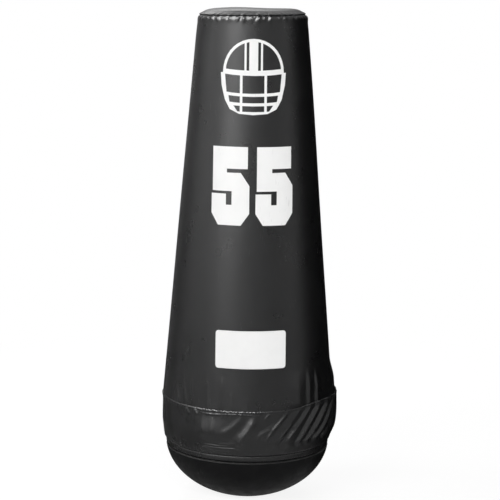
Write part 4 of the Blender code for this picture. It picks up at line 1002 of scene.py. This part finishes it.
def build_foam(soft, firm):
    """The foam inside: base, three sleeves round the column, column, two dividers and the cap."""
    turned_foam("base_foam", "foam_base", [
        (0.0, DECK_TOP + NUT_ROOM_HEIGHT), (NUT_ROOM_RADIUS, DECK_TOP + NUT_ROOM_HEIGHT),
        (NUT_ROOM_RADIUS, DECK_TOP), (RIM_INNER - 0.0005, DECK_TOP),
        (RIM_INNER - 0.0005, RIM_TOP + SEAM_GAP), (FOAM_FLANGE_RADIUS, RIM_TOP + SEAM_GAP),
        (FOAM_FLANGE_RADIUS, BASE_FOAM_TOP), (0.0, BASE_FOAM_TOP),
    ], 0.003, 96, soft, "grey_foam")
    bottom = BASE_FOAM_TOP + SEAM_GAP
    span = (SHOULDER - bottom) / 3
    for i, name in enumerate(("lower", "middle", "upper")):
        low = bottom + span * i
        high = low + span - SEAM_GAP
        wide, narrow = (float(cover_radius(z)) - FOAM_SINK for z in (low, high))
        wide = min(wide, FOAM_FLANGE_RADIUS)
        section = [(wide - FOAM_WALL, low), (wide, low), (narrow, high), (narrow - FOAM_WALL, high)]
        turned_foam("sleeve_foam_" + name, "foam_sleeve_" + name, section, 0.003, 96, soft, "grey_foam")
    top = SHOULDER - SEAM_GAP
    column = [(0.0, bottom), (COLUMN_RADIUS, bottom), (COLUMN_RADIUS, top), (0.0, top)]
    turned_foam("column_foam", "foam_column", column, 0.002, 64, firm, "firm_foam")
    for place in ("middle", "upper"):
        node = "foam_divider_" + place
        low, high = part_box(node)
        wide = high.x
        narrow = wide - CONE_SLOPE * (high.z - low.z)
        hole = COLUMN_RADIUS + 0.0005
        section = [(hole, low.z), (wide - 0.0002, low.z), (narrow - 0.0002, high.z), (hole, high.z)]
        turned_foam("divider_foam_" + place, node, section, 0.002, 96, firm, "firm_foam")
    seam, ceiling = float(cover_radius(TOP_SEAM)), TOP_SEAM - FOAM_WALL
    rim = seam - FOAM_SINK - FOAM_WALL
    edge_height = TOP_SEAM + TOP_EDGE - FOAM_SINK
    cap = [(rim, SHOULDER)]
    cap += [(float(cover_radius(z)) - FOAM_SINK, z) for z in np.linspace(SHOULDER, TOP_SEAM - 0.0005, 8)]
    shares = np.cos(np.pi / 2 * np.linspace(0, 1, 16))[:-1]
    cap += [((seam - FOAM_SINK) * s, edge_height + CAP_CROWN * (1 - s ** 5.0)) for s in shares]
    cap += [(0.0, edge_height + CAP_CROWN), (0.0, ceiling), (rim * 0.5, ceiling), (rim, ceiling)]
    points, faces = turned(cap, 96)
    points[:, 2] += top_tilt(points[:, 0], points[:, 2])
    add_foam("cap_foam", "foam_cap", (points, faces), soft, "grey_foam")


# Finishes

def put(tree, kind, wires=None, **settings):
    """Adds a node, sets what it is told and wires or sets its inputs."""
    node = tree.nodes.new(kind)
    for key, value in settings.items():
        setattr(node, key, value)
    for key, value in (wires or {}).items():
        if isinstance(value, bpy.types.NodeSocket):
            tree.links.new(value, node.inputs[key])
        else:
            node.inputs[key].default_value = value
    return node


def math_node(tree, operation, *values):
    """A Math node on sockets or numbers."""
    return put(tree, "ShaderNodeMath", dict(enumerate(values)), operation=operation).outputs[0]


def vector_node(tree, operation, wires, output=0):
    """A Vector Math node on sockets, vectors or a scale."""
    return put(tree, "ShaderNodeVectorMath", wires, operation=operation).outputs[output]


def noise(tree, where, size, detail, output=0, **wires):
    """A noise texture of a scale and a detail."""
    wires = {"Vector": where, "Scale": size, "Detail": detail, **wires}
    return put(tree, "ShaderNodeTexNoise", wires).outputs[output]


def ramp(tree, value, start, end, low=0.0, high=1.0, how="LINEAR"):
    """Takes a value from between start and end to between low and high."""
    wires = {"Value": value, 1: start, 2: end, 3: low, 4: high}
    return put(tree, "ShaderNodeMapRange", wires, interpolation_type=how).outputs[0]


def coordinates(tree, part=None):
    """A piece's own Object coordinates, or one part of them."""
    where = put(tree, "ShaderNodeTexCoord").outputs["Object"]
    return put(tree, "ShaderNodeSeparateXYZ", {0: where}).outputs[part] if part else where


def stretched(tree, where, **settings):
    """Coordinates turned or stretched."""
    return put(tree, "ShaderNodeMapping", {"Vector": where, **settings}).outputs[0]


def bare_tree(owner):
    """The emptied node tree of a new material or world."""
    owner.use_nodes = True
    owner.node_tree.nodes.clear()
    return owner.node_tree


def new_group(name, output, **inputs):
    """A node group that reads a vector and some numbers; returns it, its inputs and a way to close it."""
    group = bpy.data.node_groups.new(name, "ShaderNodeTree")
    group.interface.new_socket("Vector", in_out="INPUT", socket_type="NodeSocketVector")
    for label, value in inputs.items():
        socket = group.interface.new_socket(label, in_out="INPUT", socket_type="NodeSocketFloat")
        socket.default_value = value
    group.interface.new_socket(output, in_out="OUTPUT", socket_type="NodeSocketFloat")
    source, target = group.nodes.new("NodeGroupInput"), group.nodes.new("NodeGroupOutput")

    def close(value):
        group.links.new(value, target.inputs[0])
        return group

    return group, source.outputs, close


def grain_group():
    """Embossed pebble grain: cells with soft borders whose places are stirred by noise, and fine grit."""
    group, given, close = new_group("pebble_grain", "Height", Cell=0.0011)
    density = math_node(group, "DIVIDE", 1.0, given["Cell"])
    stirred = noise(group, given["Vector"], 420.0, 1.0, "Color")
    nudge = vector_node(group, "SCALE", {0: stirred, "Scale": 0.0008})
    moved = vector_node(group, "ADD", {0: given["Vector"], 1: nudge})
    wires = {"Vector": moved, "Scale": density}
    to_border = put(group, "ShaderNodeTexVoronoi", wires, feature="DISTANCE_TO_EDGE").outputs[0]
    soft = ramp(group, to_border, 0.0, 0.22, how="SMOOTHSTEP")
    small = math_node(group, "MULTIPLY", noise(group, given["Vector"], 2600.0, 2.0), 0.25)
    return close(math_node(group, "ADD", soft, small))


def uneven_group():
    """Slow unevenness: noise of a size, spread between a low and a high value."""
    group, given, close = new_group("unevenness", "Value", Size=0.1, Low=0.0, High=1.0)
    density = math_node(group, "DIVIDE", 1.0, given["Size"])
    value = noise(group, given["Vector"], density, 4.0, Roughness=0.55)
    return close(ramp(group, value, 0.3, 0.7, given["Low"], given["High"], how="SMOOTHSTEP"))


def scuff_group():
    """Scuffs: thin streaks where stretched noise crosses a threshold, gathered in patches."""
    group, given, close = new_group("scuffs", "Mask", Amount=0.5)
    slanted = stretched(group, given["Vector"], Rotation=(0.3, 0.5, 0.9), Scale=(240.0, 34.0, 30.0))
    thin = ramp(group, noise(group, slanted, 1.0, 3.0), 0.62, 0.72)
    some = ramp(group, noise(group, given["Vector"], 7.0, 2.0), 0.5, 0.68)
    return close(math_node(group, "MULTIPLY", math_node(group, "MULTIPLY", thin, some), given["Amount"]))


def weave_group():
    """Plain weave: two sets of rounded threads that pass over and under each other."""
    group, given, close = new_group("plain_weave", "Height", Pitch=0.0006)
    density = math_node(group, "DIVIDE", pi, given["Pitch"])
    parts = put(group, "ShaderNodeSeparateXYZ", {0: given["Vector"]}).outputs
    u, v = (math_node(group, "MULTIPLY", parts[way], density) for way in "XZ")
    warp, weft = (math_node(group, "ABSOLUTE", math_node(group, "SINE", way)) for way in (u, v))
    over = ramp(group, math_node(group, "SINE", math_node(group, "ADD", u, v)), -0.3, 0.3)
    return close(put(group, "ShaderNodeMix", {0: over, 2: warp, 3: weft}, data_type="FLOAT").outputs[0])


GROUPS = {"grain": grain_group(), "uneven": uneven_group(), "scuffs": scuff_group(), "weave": weave_group()}


class Finish:
    """A material in the making: its coordinates, its shader and the shared effects."""

    def __init__(self, name, roughness=0.5, metallic=0.0, specular=0.5):
        self.material = bpy.data.materials.new(name)
        self.tree = bare_tree(self.material)
        self.where = coordinates(self.tree)
        self.shader = put(self.tree, "ShaderNodeBsdfPrincipled", {
            "Roughness": roughness, "Metallic": metallic, "Specular IOR Level": specular,
        })
        put(self.tree, "ShaderNodeOutputMaterial", {0: self.shader.outputs[0]})
        self.normal = None

    def effect(self, name, **values):
        """The output of a shared effect with its own values."""
        wires = {"Vector": self.where, **values}
        return put(self.tree, "ShaderNodeGroup", wires, node_tree=GROUPS[name]).outputs[0]

    def mix(self, mask, low, high):
        """A colour between two by a mask."""
        low, high = (c if isinstance(c, bpy.types.NodeSocket) else (*c, 1.0) for c in (low, high))
        return put(self.tree, "ShaderNodeMix", {0: mask, 6: low, 7: high}, data_type="RGBA").outputs[2]

    def colour(self, value):
        self.tree.links.new(value, self.shader.inputs["Base Color"])

    def roughness(self, size, low, high):
        """Gloss that is uneven at a size, between two roughnesses."""
        value = self.effect("uneven", Size=size, Low=low, High=high)
        self.tree.links.new(value, self.shader.inputs["Roughness"])

    def bump(self, height, distance, strength=1.0):
        """Adds a bump on top of those before it."""
        wires = {"Height": height, "Distance": distance, "Strength": strength}
        if self.normal:
            wires["Normal"] = self.normal
        self.normal = put(self.tree, "ShaderNodeBump", wires).outputs[0]
        self.tree.links.new(self.normal, self.shader.inputs["Normal"])


VINYL_TONES = (0.0036, 0.0036, 0.0038), (0.0052, 0.0052, 0.0054)
RUBBER_TONES = (0.0034, 0.0034, 0.0036), (0.0050, 0.0050, 0.0052)
INK_WHITE = (0.88, 0.88, 0.875)


def shade(colour, share):
    """A colour made darker by a share."""
    return tuple(value * share for value in colour)


def vinyl_finish(name, cell, specular, scuffed):
    """Coated vinyl: dark base with slow smudges, a pebble grain, scuffs and uneven gloss."""
    made = Finish(name, specular=specular)
    smudged = made.mix(made.effect("uneven", Size=0.16), *VINYL_TONES)
    made.colour(made.mix(made.effect("scuffs", Amount=scuffed), smudged, (0.085, 0.085, 0.088)))
    made.roughness(size=0.09, low=0.27, high=0.35)
    made.bump(made.effect("uneven", Size=0.035), distance=0.00035, strength=0.35)
    made.bump(made.effect("grain", Cell=cell), distance=0.00006, strength=0.7)
    return made.material


def ink_finish(name, worn, roughness, cell):
    """Printed ink: off-white with faint yellowing, tiny wear, the grain of the vinyl showing through."""
    made = Finish(name, roughness=roughness, specular=0.35)
    base = made.mix(made.effect("uneven", Size=0.05), INK_WHITE, shade(INK_WHITE, 0.975))
    made.colour(made.mix(made.effect("scuffs", Amount=worn), base, (0.42, 0.42, 0.41)))
    made.roughness(size=0.03, low=roughness - 0.06, high=roughness + 0.06)
    made.bump(made.effect("grain", Cell=cell), distance=0.00004, strength=0.35)
    return made.material


def plain_finish(name, tones, gloss, size, grain, depth, scuffed=0.3, specular=0.5, metallic=0.0,
                 scuff_colour=None):
    """Cast, turned, moulded or foamed stuff: two tones of a size, uneven roughness, grain and scuffs."""
    made = Finish(name, metallic=metallic, specular=specular)
    base = made.mix(made.effect("uneven", Size=size), *tones)
    paler = scuff_colour or tuple(min(1.0, v * 1.8 + 0.01) for v in tones[1])
    made.colour(made.mix(made.effect("scuffs", Amount=scuffed), base, paler))
    made.roughness(size * 0.6, *gloss)
    made.bump(made.effect("grain", Cell=grain), distance=depth, strength=0.6)
    return made.material


def foam_finish(name, tones, grain):
    """Open foam: dull, soft and porous."""
    return plain_finish(name, tones, gloss=(0.9, 1.0), size=0.02, grain=grain, depth=0.0005, scuffed=0.1,
                        specular=0.2)


def bowl_finish():
    """Moulded rubber: near black in two tones with scuffs, and a painted highlight: a paler band in patches
    along the lip's edge.
    """
    made = Finish("moulded_rubber", specular=0.085)
    base = made.mix(made.effect("uneven", Size=0.05), *RUBBER_TONES)
    scuffed = made.mix(made.effect("scuffs", Amount=0.5), base, (0.045, 0.045, 0.045))
    # Painted highlight: the lip's rounded edge is coloured paler in uneven patches, standing in for the
    # light it catches.
    off_edge = math_node(made.tree, "SUBTRACT", coordinates(made.tree, "Z"), LIP_TOP - 0.5 * LIP_ROUNDING)
    off_edge = math_node(made.tree, "ABSOLUTE", off_edge)
    edge = ramp(made.tree, off_edge, 0.0008, 0.0030, 1.0, 0.0, how="SMOOTHSTEP")
    painted_lip_highlight = math_node(made.tree, "MULTIPLY", edge, made.effect("uneven", Size=0.04, Low=0.35, High=1.0))
    made.colour(made.mix(painted_lip_highlight, scuffed, (0.034, 0.034, 0.034)))
    made.roughness(size=0.03, low=0.48, high=0.60)
    made.bump(made.effect("grain", Cell=0.0016), distance=0.00004, strength=0.6)
    return made.material


def plywood_finish():
    """Plywood: long grain on its faces, and plies of two tones 3 mm thick across its edge."""
    made = Finish("birch_plywood", specular=0.3)
    along = stretched(made.tree, made.where, Scale=(6.0, 90.0, 90.0))
    grain = noise(made.tree, along, 1.0, 6.0)
    face = made.mix(grain, (0.46, 0.30, 0.16), (0.62, 0.44, 0.26))
    height = coordinates(made.tree, "Z")
    plies = math_node(made.tree, "SINE", math_node(made.tree, "MULTIPLY", height, pi / 0.003))
    made.colour(made.mix(ramp(made.tree, plies, -0.2, 0.2, 0.0, 0.35), face, (0.34, 0.21, 0.11)))
    made.roughness(size=0.02, low=0.6, high=0.8)
    made.bump(grain, distance=0.0002, strength=0.4)
    return made.material


def woven_finish(name, colour, pitch):
    """Woven tape or braid: rounded threads over and under, with a dry sheen, and painted shade that darkens
    the colour where the threads dip.
    """
    made = Finish(name, roughness=0.8, specular=0.25)
    height = made.effect("weave", Pitch=pitch)
    # Painted shade: the colour drops to under half in the low parts of the weave, between the threads.
    made.colour(made.mix(height, shade(colour, 0.45), colour))
    made.roughness(size=0.02, low=0.72, high=0.86)
    made.bump(height, distance=0.00015, strength=0.8)
    return made.material


cover_vinyl = vinyl_finish("black_cover_vinyl", cell=0.0011, specular=0.46, scuffed=0.25)
skirt_vinyl = vinyl_finish("black_skirt_vinyl", cell=0.0010, specular=0.48, scuffed=0.30)
white_ink = ink_finish("white_screen_ink", worn=0.35, roughness=0.48, cell=0.0011)
label_vinyl = ink_finish("white_label_vinyl", worn=0.25, roughness=0.42, cell=0.0009)
bowl_rubber = bowl_finish()
cast_iron = plain_finish(
    "cast_iron", ((0.075, 0.073, 0.072), (0.13, 0.125, 0.12)), gloss=(0.5, 0.75), size=0.03, grain=0.0022,
    depth=0.0002, metallic=0.85)
zinc_steel = plain_finish(
    "zinc_steel", ((0.50, 0.50, 0.51), (0.62, 0.62, 0.63)), gloss=(0.24, 0.40), size=0.012, grain=0.0010,
    depth=0.00001, scuffed=0.5, metallic=1.0, scuff_colour=(0.75, 0.75, 0.75))
grey_foam = foam_finish("open_cell_foam", ((0.28, 0.29, 0.31), (0.38, 0.39, 0.41)), grain=0.0018)
firm_foam = foam_finish("firm_foam", ((0.56, 0.54, 0.47), (0.66, 0.64, 0.56)), grain=0.0025)
zip_plastic = plain_finish(
    "moulded_zip_plastic", ((0.015, 0.015, 0.016), (0.022, 0.022, 0.023)), gloss=(0.28, 0.38), size=0.004,
    grain=0.0008, depth=0.00001)
zip_tape_cloth = woven_finish("woven_zip_tape", (0.022, 0.022, 0.024), pitch=0.0007)
braid = woven_finish("braided_cord", (0.05, 0.05, 0.052), pitch=0.0012)
thread = woven_finish("bonded_thread", (0.040, 0.040, 0.042), pitch=0.0004)
white_thread = woven_finish("white_thread", (0.72, 0.72, 0.70), pitch=0.0004)
plywood = plywood_finish()

# Pieces
cover = build_cover(cover_vinyl)
top = build_top(cover_vinyl)
skirt = build_skirt(skirt_vinyl)
casing = build_casing(skirt_vinyl)
build_cord(braid)
build_bowl(bowl_rubber)
emblem = lay_on_cover("helmet_emblem", "printed_helmet", white_ink, PRINT_THICKNESS, passes=2)
figure_left, figure_right = (
    lay_on_cover("number_" + side, "printed_five_" + side, white_ink, PRINT_THICKNESS, passes=3, wide=wide,
                 tall=0.983, up=0.0048)
    for side, wide in (("left", 0.957), ("right", 0.952)))
label = lay_on_cover("label_patch", "blank_label", label_vinyl, LABEL_THICKNESS, passes=3,
                     wide=0.978, tall=0.982)
tape_left, tape_right = (
    build_tape("woven_tape_" + name, side, zip_tape_cloth, "zip_tape_" + name)
    for name, side in (("left", -1), ("right", 1)))
teeth = build_chain(zip_plastic)
metal_part("zip_slider", "slider_cast", zinc_steel, "slider")
metal_part("zip_pull", "pull_tab", zinc_steel, "pull")
stop_low = metal_part("zip_stop_bottom", "stop_lower", zinc_steel)
stop_high = metal_part("zip_stop_top", "stop_upper", zinc_steel)
metal_part("cord_ferrule", "crimped_ferrule", zinc_steel)
build_foam(grey_foam, firm_foam)


# Stitching

def zip_stitches(name, side):
    """A row of stitches beside the zip's slot."""
    count = int((ZIP_LENGTH + 2 * STOP_LENGTH) / STITCH_PITCH)
    z = -STOP_LENGTH + STITCH_PITCH * (np.arange(count) + 0.5)
    centres = on_zip(np.stack((np.full(count, side * (HALF_SLOT + 0.0011)), np.zeros(count), z), axis=1))
    out, along = (np.tile(ZIP_PLACE[:3, axis], (count, 1)) for axis in (1, 2))
    return stitch_row("zip_stitches_" + name, centres, along, out, FINE_STITCH_LENGTH,
                      FINE_THREAD_THICKNESS, thread)


def label_stitches():
    """A row of stitches a few millimetres inside the label's edge."""
    half_width, half_height, inset = LABEL_WIDTH / 2 - LABEL_MARGIN, LABEL_HEIGHT / 2 - LABEL_MARGIN, 0.006
    middle = SKIRT_TOP + (SOLID_SEAM - SKIRT_TOP) * LABEL_PLACE
    corners = [(x * half_width, z * half_height) for x, z in ((-1, -1), (1, -1), (1, 1), (-1, 1))]
    places, headings = [], []
    for (x0, z0), (x1, z1) in zip(corners, corners[1:] + corners[:1]):
        length = math.hypot(x1 - x0, z1 - z0)
        count = int((length - 2 * inset) / 0.0040)
        t = (inset + (length - 2 * inset) * (np.arange(count) + 0.5) / count) / length
        places.append(np.stack((x0 + (x1 - x0) * t, z0 + (z1 - z0) * t), axis=1))
        headings.append(np.tile(((x1 - x0) / length, (z1 - z0) / length), (count, 1)))
    places, headings = np.concatenate(places), np.concatenate(headings)
    height = middle + places[:, 1]
    angle = places[:, 0] / cover_radius(height)
    centres = around(angle, cover_surface(angle, height) + LABEL_THICKNESS, height)
    out = unit(around(angle, np.ones_like(angle), np.full_like(angle, CONE_SLOPE)))
    tangent = np.stack((np.cos(angle), np.sin(angle), 0 * angle), axis=1)
    up = np.cross(out, -tangent)
    along = headings[:, :1] * tangent + headings[:, 1:] * up
    return stitch_row("label_stitches", centres, along, out, 0.0030, FINE_THREAD_THICKNESS, white_thread)


seam_upper = ring_stitches("skirt_stitches_upper", skirt_surface, SKIRT_TOP - 0.0040, thread, seam_lift)
seam_lower = ring_stitches("skirt_stitches_lower", skirt_surface, SKIRT_TOP - 0.0105, thread, seam_lift)
hem_row = ring_stitches("hem_stitches", skirt_surface, HEM_HEIGHT + 0.0075, thread)
top_row = ring_stitches(
    "top_stitches", cover_surface, TOP_SEAM - 0.0042, thread, pitch=0.0044,
    length=FINE_STITCH_LENGTH, skip=5.5)
zip_rows = [zip_stitches(name, side) for name, side in (("left", -1), ("right", 1))]
label_row = label_stitches()

# Solids of the part that keep their shape get their finishes
CARRIED = {
    cast_iron: ("ballast_plate_foot", "ballast_plate_lower", "ballast_plate_middle", "ballast_plate_upper"),
    zinc_steel: ("centre_bolt", "bolt_nut", "bolt_washer") + tuple(f"deck_screw_{i}" for i in range(1, 7)),
    plywood: ("deck_board",),
    bowl_rubber: ("foot_plug",),
}
for finish, names in CARRIED.items():
    for name in names:
        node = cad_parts[name]
        node.data.materials.clear()
        node.data.materials.append(finish)


# Studio

CAMERA_DISTANCE = 5.88
CAMERA_HEIGHT = 1.821
FLOOR_GREY = (0.30, 0.30, 0.30, 1.0)
WHITE = (1, 1, 1, 1)
PANEL_MIDDLE = 0.9
LOW_EDGE = radians(3)


def sees_backdrop(tree):
    """1 for the rays that find the white backdrop: those of the camera, of gloss and through glass."""
    ray = put(tree, "ShaderNodeLightPath").outputs
    straight = math_node(tree, "MAXIMUM", ray["Is Camera Ray"], ray["Is Transmission Ray"])
    return math_node(tree, "MAXIMUM", straight, ray["Is Glossy Ray"])


def shader(tree, kind, **wires):
    """The output of a shader node."""
    return put(tree, "ShaderNode" + kind, wires).outputs[0]


def mixed(tree, share, first, second):
    """A share between two shaders."""
    return put(tree, "ShaderNodeMixShader", {0: share, 1: first, 2: second}).outputs[0]


def floor_finish():
    """Pale floor: near the dummy it keeps the lamps' light and shadow, farther out it fades into the white
    backdrop. The camera, gloss and glass see it so. Diffuse light finds it grey, and from below it is
    clear."""
    material = bpy.data.materials.new("studio_floor")
    tree = bare_tree(material)
    distance = vector_node(tree, "LENGTH", {0: coordinates(tree)}, "Value")
    far = ramp(tree, distance, 0.8, 2.6, how="SMOOTHSTEP")
    lit = shader(tree, "BsdfDiffuse", Color=FLOOR_GREY)
    glow = shader(tree, "Emission", Color=WHITE, Strength=0.83)
    near = put(tree, "ShaderNodeAddShader", {0: lit, 1: glow}).outputs[0]
    seen = mixed(tree, far, near, shader(tree, "Emission", Color=WHITE, Strength=1.0))
    shown = mixed(tree, sees_backdrop(tree), shader(tree, "BsdfDiffuse", Color=FLOOR_GREY), seen)
    back = put(tree, "ShaderNodeNewGeometry").outputs["Backfacing"]
    put(tree, "ShaderNodeOutputMaterial", {0: mixed(tree, back, shown, shader(tree, "BsdfTransparent"))})
    return material


def build_floor():
    """A flat round floor under the dummy."""
    points, faces = stack_rings([pole(0.0)] + [around(full_turn(64), r, 0.0) for r in (0.5, 2.0, 6.0, 40.0)])
    new_object("floor", points, [block[:, ::-1] for block in faces], floor_finish())


def set_world():
    """A white backdrop for the camera, gloss and glass; dim, even light for the surfaces."""
    world = bpy.data.worlds.new("studio")
    bpy.context.scene.world = world
    tree = bare_tree(world)
    wires = {0: sees_backdrop(tree), 2: 0.05, 3: 1.0}
    strength = put(tree, "ShaderNodeMix", wires, data_type="FLOAT").outputs[0]
    put(tree, "ShaderNodeOutputWorld", {0: shader(tree, "Background", Color=WHITE, Strength=strength)})


def panel_finish(name, azimuth, width, low, high, soft, top_soft, lets_through, glow):
    """Scrim: lets a share of the backdrop through and glows, both fading in softly from its edges, which
    lie at an azimuth and an elevation from the dummy's middle."""
    material = bpy.data.materials.new(name)
    tree = bare_tree(material)
    centred = vector_node(tree, "SUBTRACT", {0: coordinates(tree), 1: (0.0, 0.0, PANEL_MIDDLE)})
    parts = put(tree, "ShaderNodeSeparateXYZ", {0: vector_node(tree, "NORMALIZE", {0: centred})}).outputs
    turn = math_node(tree, "ARCTAN2", parts["X"], math_node(tree, "MULTIPLY", parts["Y"], -1.0))
    off = math_node(tree, "WRAP", math_node(tree, "SUBTRACT", turn, azimuth), pi, -pi)
    off = math_node(tree, "ABSOLUTE", off)
    up = math_node(tree, "ARCSINE", parts["Z"])
    edges = (
        (off, width / 2 + soft, width / 2 - soft), (up, low - LOW_EDGE, low + LOW_EDGE),
        (up, high + top_soft, high - top_soft))
    sides, bottom, ceiling = (ramp(tree, *edge, how="SMOOTHSTEP") for edge in edges)
    mask = math_node(tree, "MULTIPLY", math_node(tree, "MULTIPLY", sides, bottom), ceiling)
    net = shader(tree, "BsdfTransparent", Color=ramp(tree, mask, 0.0, 1.0, 1.0, lets_through))
    shine = shader(tree, "Emission", Color=WHITE, Strength=math_node(tree, "MULTIPLY", mask, glow))
    both = put(tree, "ShaderNodeAddShader", {0: net, 1: shine}).outputs[0]
    put(tree, "ShaderNodeOutputMaterial", {0: both})
    material.cycles.emission_sampling = "NONE"
    return material


def add_panel(name, *reach, distance, lets_through=1.0, glow=0.0, top_soft=11.0):
    """A curved studio panel that only gloss sees: a patch of a sphere round the dummy's middle, which
    lies on the floor where the sphere would go below it. Its reach is its azimuth, width, lowest and
    highest elevation and the softness of its sides, in degrees."""
    azimuth, width, low, high, soft, top_soft = (radians(value) for value in (*reach, top_soft))
    half = min(width / 2 + soft, pi)
    turn = azimuth + np.linspace(-half, half, 25)[None, :]
    lowest, highest = max(low - LOW_EDGE, -pi / 2 + 0.01), min(high + top_soft, pi / 2 - 0.01)
    up = np.linspace(lowest, highest, 13)[:, None]
    above_floor = 0.01 * (8.0 - distance)
    far = np.where(up < 0, (PANEL_MIDDLE - above_floor) / np.maximum(np.sin(-up), 1e-6), distance)
    far = np.minimum(far, distance)
    points = around(turn, far * np.cos(up), PANEL_MIDDLE + far * np.sin(up))
    corner = (np.arange(12)[:, None] * 25 + np.arange(24)).ravel()
    faces = np.stack((corner, corner + 25, corner + 26, corner + 1), axis=1)
    scrim = panel_finish(name, azimuth, width, low, high, soft, top_soft, lets_through, glow)
    panel = new_object(name, points, [faces], scrim)
    panel.visible_camera = panel.visible_diffuse = panel.visible_shadow = False
    panel.visible_transmission = panel.visible_volume_scatter = False


def add_lamp(name, azimuth, distance, height, aim, size, power, glossy=True):
    """A square-cornered soft lamp that stands round the dummy and looks at a height on its axis."""
    lamp = bpy.data.lights.new(name, "AREA")
    lamp.shape = "RECTANGLE"
    lamp.size, lamp.size_y = size
    lamp.energy = power
    thing = bpy.data.objects.new(name, lamp)
    thing.location = around(radians(azimuth), distance, height).tolist()
    look = Vector((0.0, 0.0, aim)) - thing.location
    thing.rotation_euler = look.to_track_quat("-Z", "Y").to_euler()
    thing.visible_camera = False
    thing.visible_glossy = glossy
    bpy.context.scene.collection.objects.link(thing)


def set_camera():
    """The photograph's view: 5.88 m away and 1.821 m up, looking 9.22 degrees down, rolled 0.74 degrees."""
    camera_data = bpy.data.cameras.new("view")
    camera_data.sensor_width = 36.0
    camera_data.lens = 122.40
    camera = bpy.data.objects.new("view", camera_data)
    azimuth, pitch, roll = radians(-1.8), 0.1610, radians(0.736)
    sideways = 0.56 / 1706.0
    right = Vector((math.cos(azimuth), math.sin(azimuth), 0.0))
    ahead = Vector((
        -math.sin(azimuth) * math.cos(pitch), math.cos(azimuth) * math.cos(pitch), -math.sin(pitch)))
    ahead = (ahead * math.cos(sideways) + right * math.sin(sideways)).normalized()
    right = (right - ahead * right.dot(ahead)).normalized()
    up = right.cross(ahead)
    side = right * math.cos(roll) + up * math.sin(roll)
    top_side = -right * math.sin(roll) + up * math.cos(roll)
    turn = Matrix((side, top_side, -ahead)).transposed().to_4x4()
    camera.matrix_world = Matrix.Translation(around(azimuth, CAMERA_DISTANCE, CAMERA_HEIGHT).tolist()) @ turn
    bpy.context.scene.collection.objects.link(camera)
    bpy.context.scene.camera = camera


build_floor()
set_world()
set_camera()

# Lamps: azimuth in degrees, distance, height, the height looked at, size, power in watts
add_lamp("key", -35.0, 4.4, 2.3, 1.0, (2.5, 2.6), 68.0)
add_lamp("left", -90.0, 4.4, 1.8, 0.9, (2.0, 2.4), 85.0, glossy=False)
add_lamp("front right fill", 22.0, 5.5, 1.7, 0.9, (2.4, 2.4), 210.0, glossy=False)
add_lamp("hair", -165.0, 2.6, 3.3, 1.4, (2.2, 1.2), 17.0)
add_lamp("back fill", 178.0, 4.6, 2.0, 0.9, (2.0, 2.4), 90.0, glossy=False)

# Panels: azimuth, width, lowest and highest elevation and softness of the sides, all in degrees
add_panel("lit_panel_left", -74.0, 40.0, -4.0, 38.0, 16.0, distance=6.0, glow=0.62)
add_panel("lit_panel_front", -24.0, 60.0, -4.0, 38.0, 20.0, distance=6.3, glow=0.30)
add_panel("lit_panel_overhead", -50.0, 100.0, 36.0, 110.0, 24.0, distance=6.6, glow=17.0)
add_panel("black_flag_right", 124.0, 86.0, -86.0, 34.0, 9.0, distance=6.9, lets_through=0.0)
add_panel("grey_net_behind", 206.0, 88.0, -86.0, 34.0, 14.0, distance=7.2, lets_through=0.26)
add_panel("grey_net_front", 30.0, 44.0, -6.0, 32.0, 12.0, distance=7.5, lets_through=0.62)
add_panel("grey_floor_paper", 0.0, 420.0, -86.0, -3.0, 20.0, distance=7.7, lets_through=0.58, top_soft=3.0)
add_panel("grey_floor_mat", -108.0, 96.0, -86.0, -3.0, 25.0, distance=7.6, lets_through=0.66, top_soft=3.0)
add_panel("dark_floor_mat_right", 76.0, 62.0, -66.0, -27.0, 14.0, distance=7.5,
          lets_through=0.35, top_soft=5.0)
add_panel("dark_floor_mat_left", -104.0, 88.0, -66.0, -32.0, 16.0, distance=7.5,
          lets_through=0.6, top_soft=5.0)

bpy.context.scene.view_settings.view_transform = "Standard"
